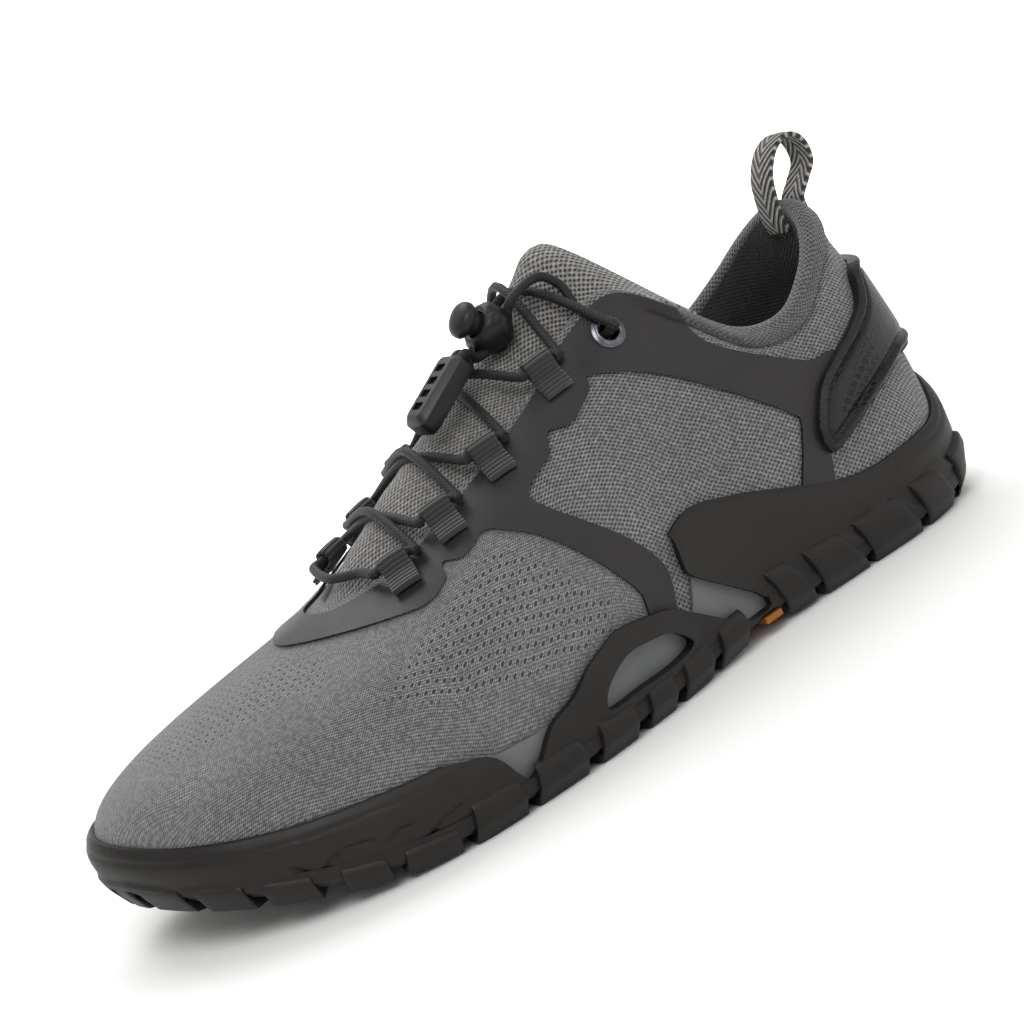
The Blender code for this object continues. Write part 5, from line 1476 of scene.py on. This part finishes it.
for run, lift in zip(runs, lifts):
    route += front_bar if lift is None else [crossing(route[-1], run[0], lift)]
    route += run
route.append(crossing(route[-1], eyelet_ends[1][-1], LACE_LIFT + TOP_LIFT))
route += eyelet_ends[1][::-1]
shape, length = cord_shape(smooth_path(route, 8), CORD_RADIUS)
finished("lace_cord", shape, CORD, replaces=("lace",))
print("lace between the eyelets:", round(length * 1000), "mm")

# %% [markdown]
# The top pair of holes has real eyelets: a brass ring rolled over on both sides of the eyestay,
# plated gunmetal. A ring is turned, so its profile is spun round the eyelet's axis.

# %% The eyelets
def eyelet(hand):
    """One rolled ring, from its inner flange through the barrel to its outer flange."""
    low = -knit_wall(on_side(EYELET_STATION, hand), EYELET_RISE) - 0.0008
    high = RUBBER_INSIDE
    profile = [
        (0.0024, low - 0.0003), (0.0027, low - 0.0006), (0.0037, low - 0.0006), (0.0041, low - 0.0003),
        (0.0041, low), (0.0031, low), (0.0031, high), (0.0047, high - 0.0002), (0.0049, high),
        (0.0046, high + 0.0003), (0.0041, high + 0.0003), (0.0038, high + 0.0008),
        (0.0034, high + 0.0010), (0.0030, high + 0.0008), (0.0026, high), (0.0024, low - 0.0003),
    ]
    return turned_shape(profile, *eyelet_place(hand), 48)


for hand, word in SIDES:
    finished(
        f"ring_{word}", eyelet(hand), GUNMETAL, replaces=(f"eyelet_{word}",), sharp=60
    )

# %% [markdown]
# ## Cord lock and end clip
# The lock is a moulded nylon bulb with two raised straps that cross on its face. A sprung button
# slides in its bore and grips the cord. Both are round. The bulb's profile is laid round the axis,
# with the straps as an offset, and the button's profile is spun.


# %% The cord lock
# the straps' rise in metres, and their lean, half width and slope as angles
STRAP_RISE, STRAP_LEAN, STRAP_HALF, STRAP_SLOPE = 0.0005, 1.7, 0.34, 0.10


def strap_relief(turn, height):
    """Two pairs of straps that cross on the bulb's sides."""
    if height > LOCK_FRONT * 0.9:
        return 0.0
    lean = height / (LOCK_FRONT + LOCK_BACK) * STRAP_LEAN
    nearest = min(abs((turn + sign * lean) % math.pi - math.pi / 2) for sign in (-1, 1))
    return STRAP_RISE * ease((STRAP_HALF - nearest) / STRAP_SLOPE)


def lock_lay(profile):
    """A lay that turns a profile of (radius, height) round the lock's axis, with the straps on it."""
    across = LOCK_AXIS.orthogonal().normalized()
    other = LOCK_AXIS.cross(across)
    steps = len(profile) - 1

    def lay(u, v):
        radius, height = profile[round(v * steps)]
        turn = math.tau * u
        radius += strap_relief(turn, height) if radius > 0.001 else 0.0
        out = (across * math.cos(turn) + other * math.sin(turn)) * radius
        return LOCK_CENTRE + out + LOCK_AXIS * height

    return lay


body_line = [
    (0.0, -LOCK_BACK), (LOCK_RADIUS * 0.30, -LOCK_BACK * 0.97), (LOCK_RADIUS * 0.60, -LOCK_BACK * 0.84),
    (LOCK_RADIUS * 0.86, -LOCK_BACK * 0.52), (LOCK_RADIUS * 0.98, -LOCK_BACK * 0.15),
    (LOCK_RADIUS, LOCK_FRONT * 0.25), (LOCK_RADIUS * 0.95, LOCK_FRONT * 0.70),
    (LOCK_RADIUS * 0.82, LOCK_FRONT),
]
bore = BUTTON_STEM + GAP
floor_height = -LOCK_FRONT * 0.4
line = smooth_path(body_line, 4) + [
    Vector(p) for p in (
        (bore + 0.0004, LOCK_FRONT), (bore, LOCK_FRONT - 0.0004), (bore, floor_height), (0.0, floor_height)
    )
]
shape = closed_grid(72, len(line) - 1, lock_lay(line), lambda u, v, point: (point.x, point.z))
lock = finished("lock_body", shape, NYLON, replaces=("cord_lock_body",), sharp=55)

stem_end = floor_height + BUTTON_TRAVEL + GAP + CORD_RADIUS  # room over the cords when it is pressed
rim = LOCK_FRONT + BUTTON_TRAVEL + GAP
top = rim + BUTTON_CAP
line = [
    (0.0, stem_end), (BUTTON_STEM, stem_end),
    (BUTTON_STEM, rim), (BUTTON_RADIUS - 0.0004, rim), (BUTTON_RADIUS, rim + 0.0004),
    (BUTTON_RADIUS, rim + BUTTON_CAP * 0.40), (BUTTON_RADIUS * 0.96, rim + BUTTON_CAP * 0.62),
    (BUTTON_RADIUS * 0.82, rim + BUTTON_CAP * 0.84), (BUTTON_RADIUS * 0.55, rim + BUTTON_CAP * 0.96),
    (BUTTON_RADIUS * 0.25, top), (0.0, top),
]
shape = turned_shape(line, LOCK_CENTRE, LOCK_AXIS, 56)
button = finished(
    "lock_plunger", shape, NYLON, replaces=("cord_lock_button",), sharp=45,
    body="lock_button",
)

# %% [markdown]
# The end clip is a small moulded box that holds both ends of the cord. Its outer face is sloped on
# all sides and has four slots. It starts as a cube: its upright edges are bevelled, its top face is
# drawn in, and four small blocks cut the slots.


# %% The end clip
BOX_CORNER, TOP_LENGTH, TOP_WIDTH, WALL_TOP = 0.0024, 0.86, 0.64, 0.20
SLOT_SIZE, SLOT_PITCH = Vector((0.0024, 0.0042, 0.0024)), 0.0042
CLIP_ACROSS = Vector((0, -1, 0))
CLIP_OUT = CLIP_ALONG.cross(CLIP_ACROSS)
if CLIP_OUT.z < 0:
    CLIP_OUT = -CLIP_OUT
clip_turn = Matrix((CLIP_ALONG, CLIP_ACROSS, CLIP_OUT)).transposed().to_4x4()
box = bmesh.new()
bmesh.ops.create_cube(box, size=1.0)
bmesh.ops.scale(box, verts=box.verts, vec=Vector((CLIP_LENGTH, CLIP_WIDTH, CLIP_HEIGHT)))
corners = [edge for edge in box.edges if abs((edge.verts[0].co - edge.verts[1].co).z) > CLIP_HEIGHT / 2]
bmesh.ops.bevel(
    box, geom=corners, offset=BOX_CORNER, segments=5, profile=0.5, affect="EDGES", material=-1
)
face_up = max(box.faces, key=lambda face: face.calc_center_median().z)
walls = bmesh.ops.extrude_face_region(box, geom=[face_up])["geom"]
raised = [item for item in walls if isinstance(item, bmesh.types.BMVert)]
bmesh.ops.delete(box, geom=[face_up], context="FACES_ONLY")
for vertex in raised:
    vertex.co = Vector((vertex.co.x * TOP_LENGTH, vertex.co.y * TOP_WIDTH, CLIP_HEIGHT / 2))
for vertex in box.verts:
    if vertex not in raised and vertex.co.z > 0:
        vertex.co.z = CLIP_HEIGHT * WALL_TOP
slots = []
for k in range(4):
    slot = bmesh.new()
    bmesh.ops.create_cube(slot, size=1.0)
    bmesh.ops.scale(slot, verts=slot.verts, vec=SLOT_SIZE)
    bmesh.ops.translate(slot, verts=slot.verts, vec=Vector(((k - 1.5) * SLOT_PITCH, 0, CLIP_HEIGHT / 2)))
    slots.append(("DIFFERENCE", as_object(f"slot_{k}", slot)))
box = cut_by(softened_edges(box, 0.0003), *slots)
# the outer sloped faces, turned up toward the lamps, take the lighter copy of the nylon as painted light
for face in box.faces:
    sloped = face.calc_center_median().z > CLIP_HEIGHT * 0.21 and face.normal.z > 0.2
    face.material_index = 1 if sloped else 0
bmesh.ops.transform(box, matrix=Matrix.Translation(CLIP_CENTRE) @ clip_turn, verts=box.verts)
end_clip = finished(
    "end_clip", box, [NYLON, NYLON_PAINTED_LIGHTER], replaces=("cord_end_clip",), sharp=35
)

# %% [markdown]
# ## The pull loop
# A herringbone tape stands above the heel, sewn to the skin outside and inside the collar. It is a
# sheet along its curve with a Solidify modifier.

# %% The pull loop
STRAP_WIDTH, STRAP_THICKNESS, STRAP_SEAT = 0.0095, 0.0016, 0.0010
STRAP_LOOP = (
    (0.0450, 0.0995), (0.0310, 0.1035), (0.0170, 0.1080), (0.0190, 0.1145), (0.0350, 0.1178),
    (0.0560, 0.1155), (0.0720, 0.1095), (0.0775, 0.1030),
)
route = [skin(0.0, rise, GAP + STRAP_THICKNESS / 2) for rise in (0.875, 0.92, 0.96)]
route += [spot(along, 0.0, height) for along, height in STRAP_LOOP]
route += [
    skin(0.0, rise, -knit_wall(0.0, rise) - STRAP_SEAT - STRAP_THICKNESS / 2) for rise in (0.985, 0.94)
]
strap_path = smooth_path(route, 8)
strap_steps = len(strap_path) - 1
strap_frames = path_frames(strap_path)


def strap_lay(u, v):
    """The tape across its curve, a little crowned."""
    k = round(u * strap_steps)
    ahead = (strap_path[min(k + 1, strap_steps)] - strap_path[max(k - 1, 0)]).normalized()
    out = Vector((0, 1, 0)).cross(ahead)
    crown = 0.0003 * (1 - (2 * v - 1) ** 2)
    return strap_path[k] + Vector((0, (v - 0.5) * STRAP_WIDTH, 0)) + out * crown


shape = laid_grid(
    strap_steps, 12, strap_lay,
    lambda u, v, _: (strap_frames[round(u * strap_steps)][3], (v - 0.5) * STRAP_WIDTH),
)
finished(
    "heel_tape", shape, STRAP, replaces=("pull_loop",), sharp=80,
    sheet=(STRAP_THICKNESS * 0.9, 0.0),
)

# %% [markdown]
# ## Stage and light
# The floor is a wide pale bowl, so there is no horizon from any side. Three large soft lamps stand
# round the shoe as in a small product studio, a fourth lights the bowl's far wall, and the pale
# world fills the shadows. The view is Standard, so that black rubber stays black and paper white,
# as in a product photo.

# %% Stage
BOWL_RADIUS, BOWL_CURVE = 2.4, 0.9
curve = [math.radians(10 * k) for k in range(1, 10)]
bowl = [(0.0, 0.0), (BOWL_RADIUS, 0.0)]
bowl += [(BOWL_RADIUS + BOWL_CURVE * math.sin(a), BOWL_CURVE * (1 - math.cos(a))) for a in curve]
backdrop = facing_up(turned_shape(bowl, Vector(), Vector((0, 0, 1)), 96))
studio_floor = as_object("studio_floor", backdrop)
paper = new_material("pale studio paper", 0.9, Base_Color=linear("#f0f0ef"))[0]
studio_floor.data.materials.append(paper)


# %% Lights
def soft_lamp(name, place, size, power, target=Vector((-0.10, 0, 0.05))):
    """A square soft lamp that faces the shoe, or another target."""
    lamp = bpy.data.objects.new(name, bpy.data.lights.new(name, "AREA"))
    lamp.data.shape = "SQUARE"
    lamp.data.size = size
    lamp.data.energy = power
    lamp.location = place
    lamp.rotation_euler = (target - lamp.location).to_track_quat("-Z", "Y").to_euler()
    bpy.context.scene.collection.objects.link(lamp)


soft_lamp("key lamp", Vector((-0.7, -0.9, 1.3)), 0.9, 15)
soft_lamp("fill lamp", Vector((0.9, -1.2, 0.8)), 1.2, 5)
soft_lamp("top lamp", Vector((0.1, 0.8, 1.4)), 1.2, 14)
soft_lamp("backdrop lamp", Vector((0.2, 0.7, 1.7)), 1.6, 90, Vector((1.2, 3.1, 0.5)))
world = bpy.data.worlds.new("studio")
bpy.context.scene.world = world
world.use_nodes = True
world.node_tree.nodes["Background"].inputs["Color"].default_value = linear("#f1f1f0")
world.node_tree.nodes["Background"].inputs["Strength"].default_value = 0.62
bpy.context.scene.view_settings.view_transform = "Standard"
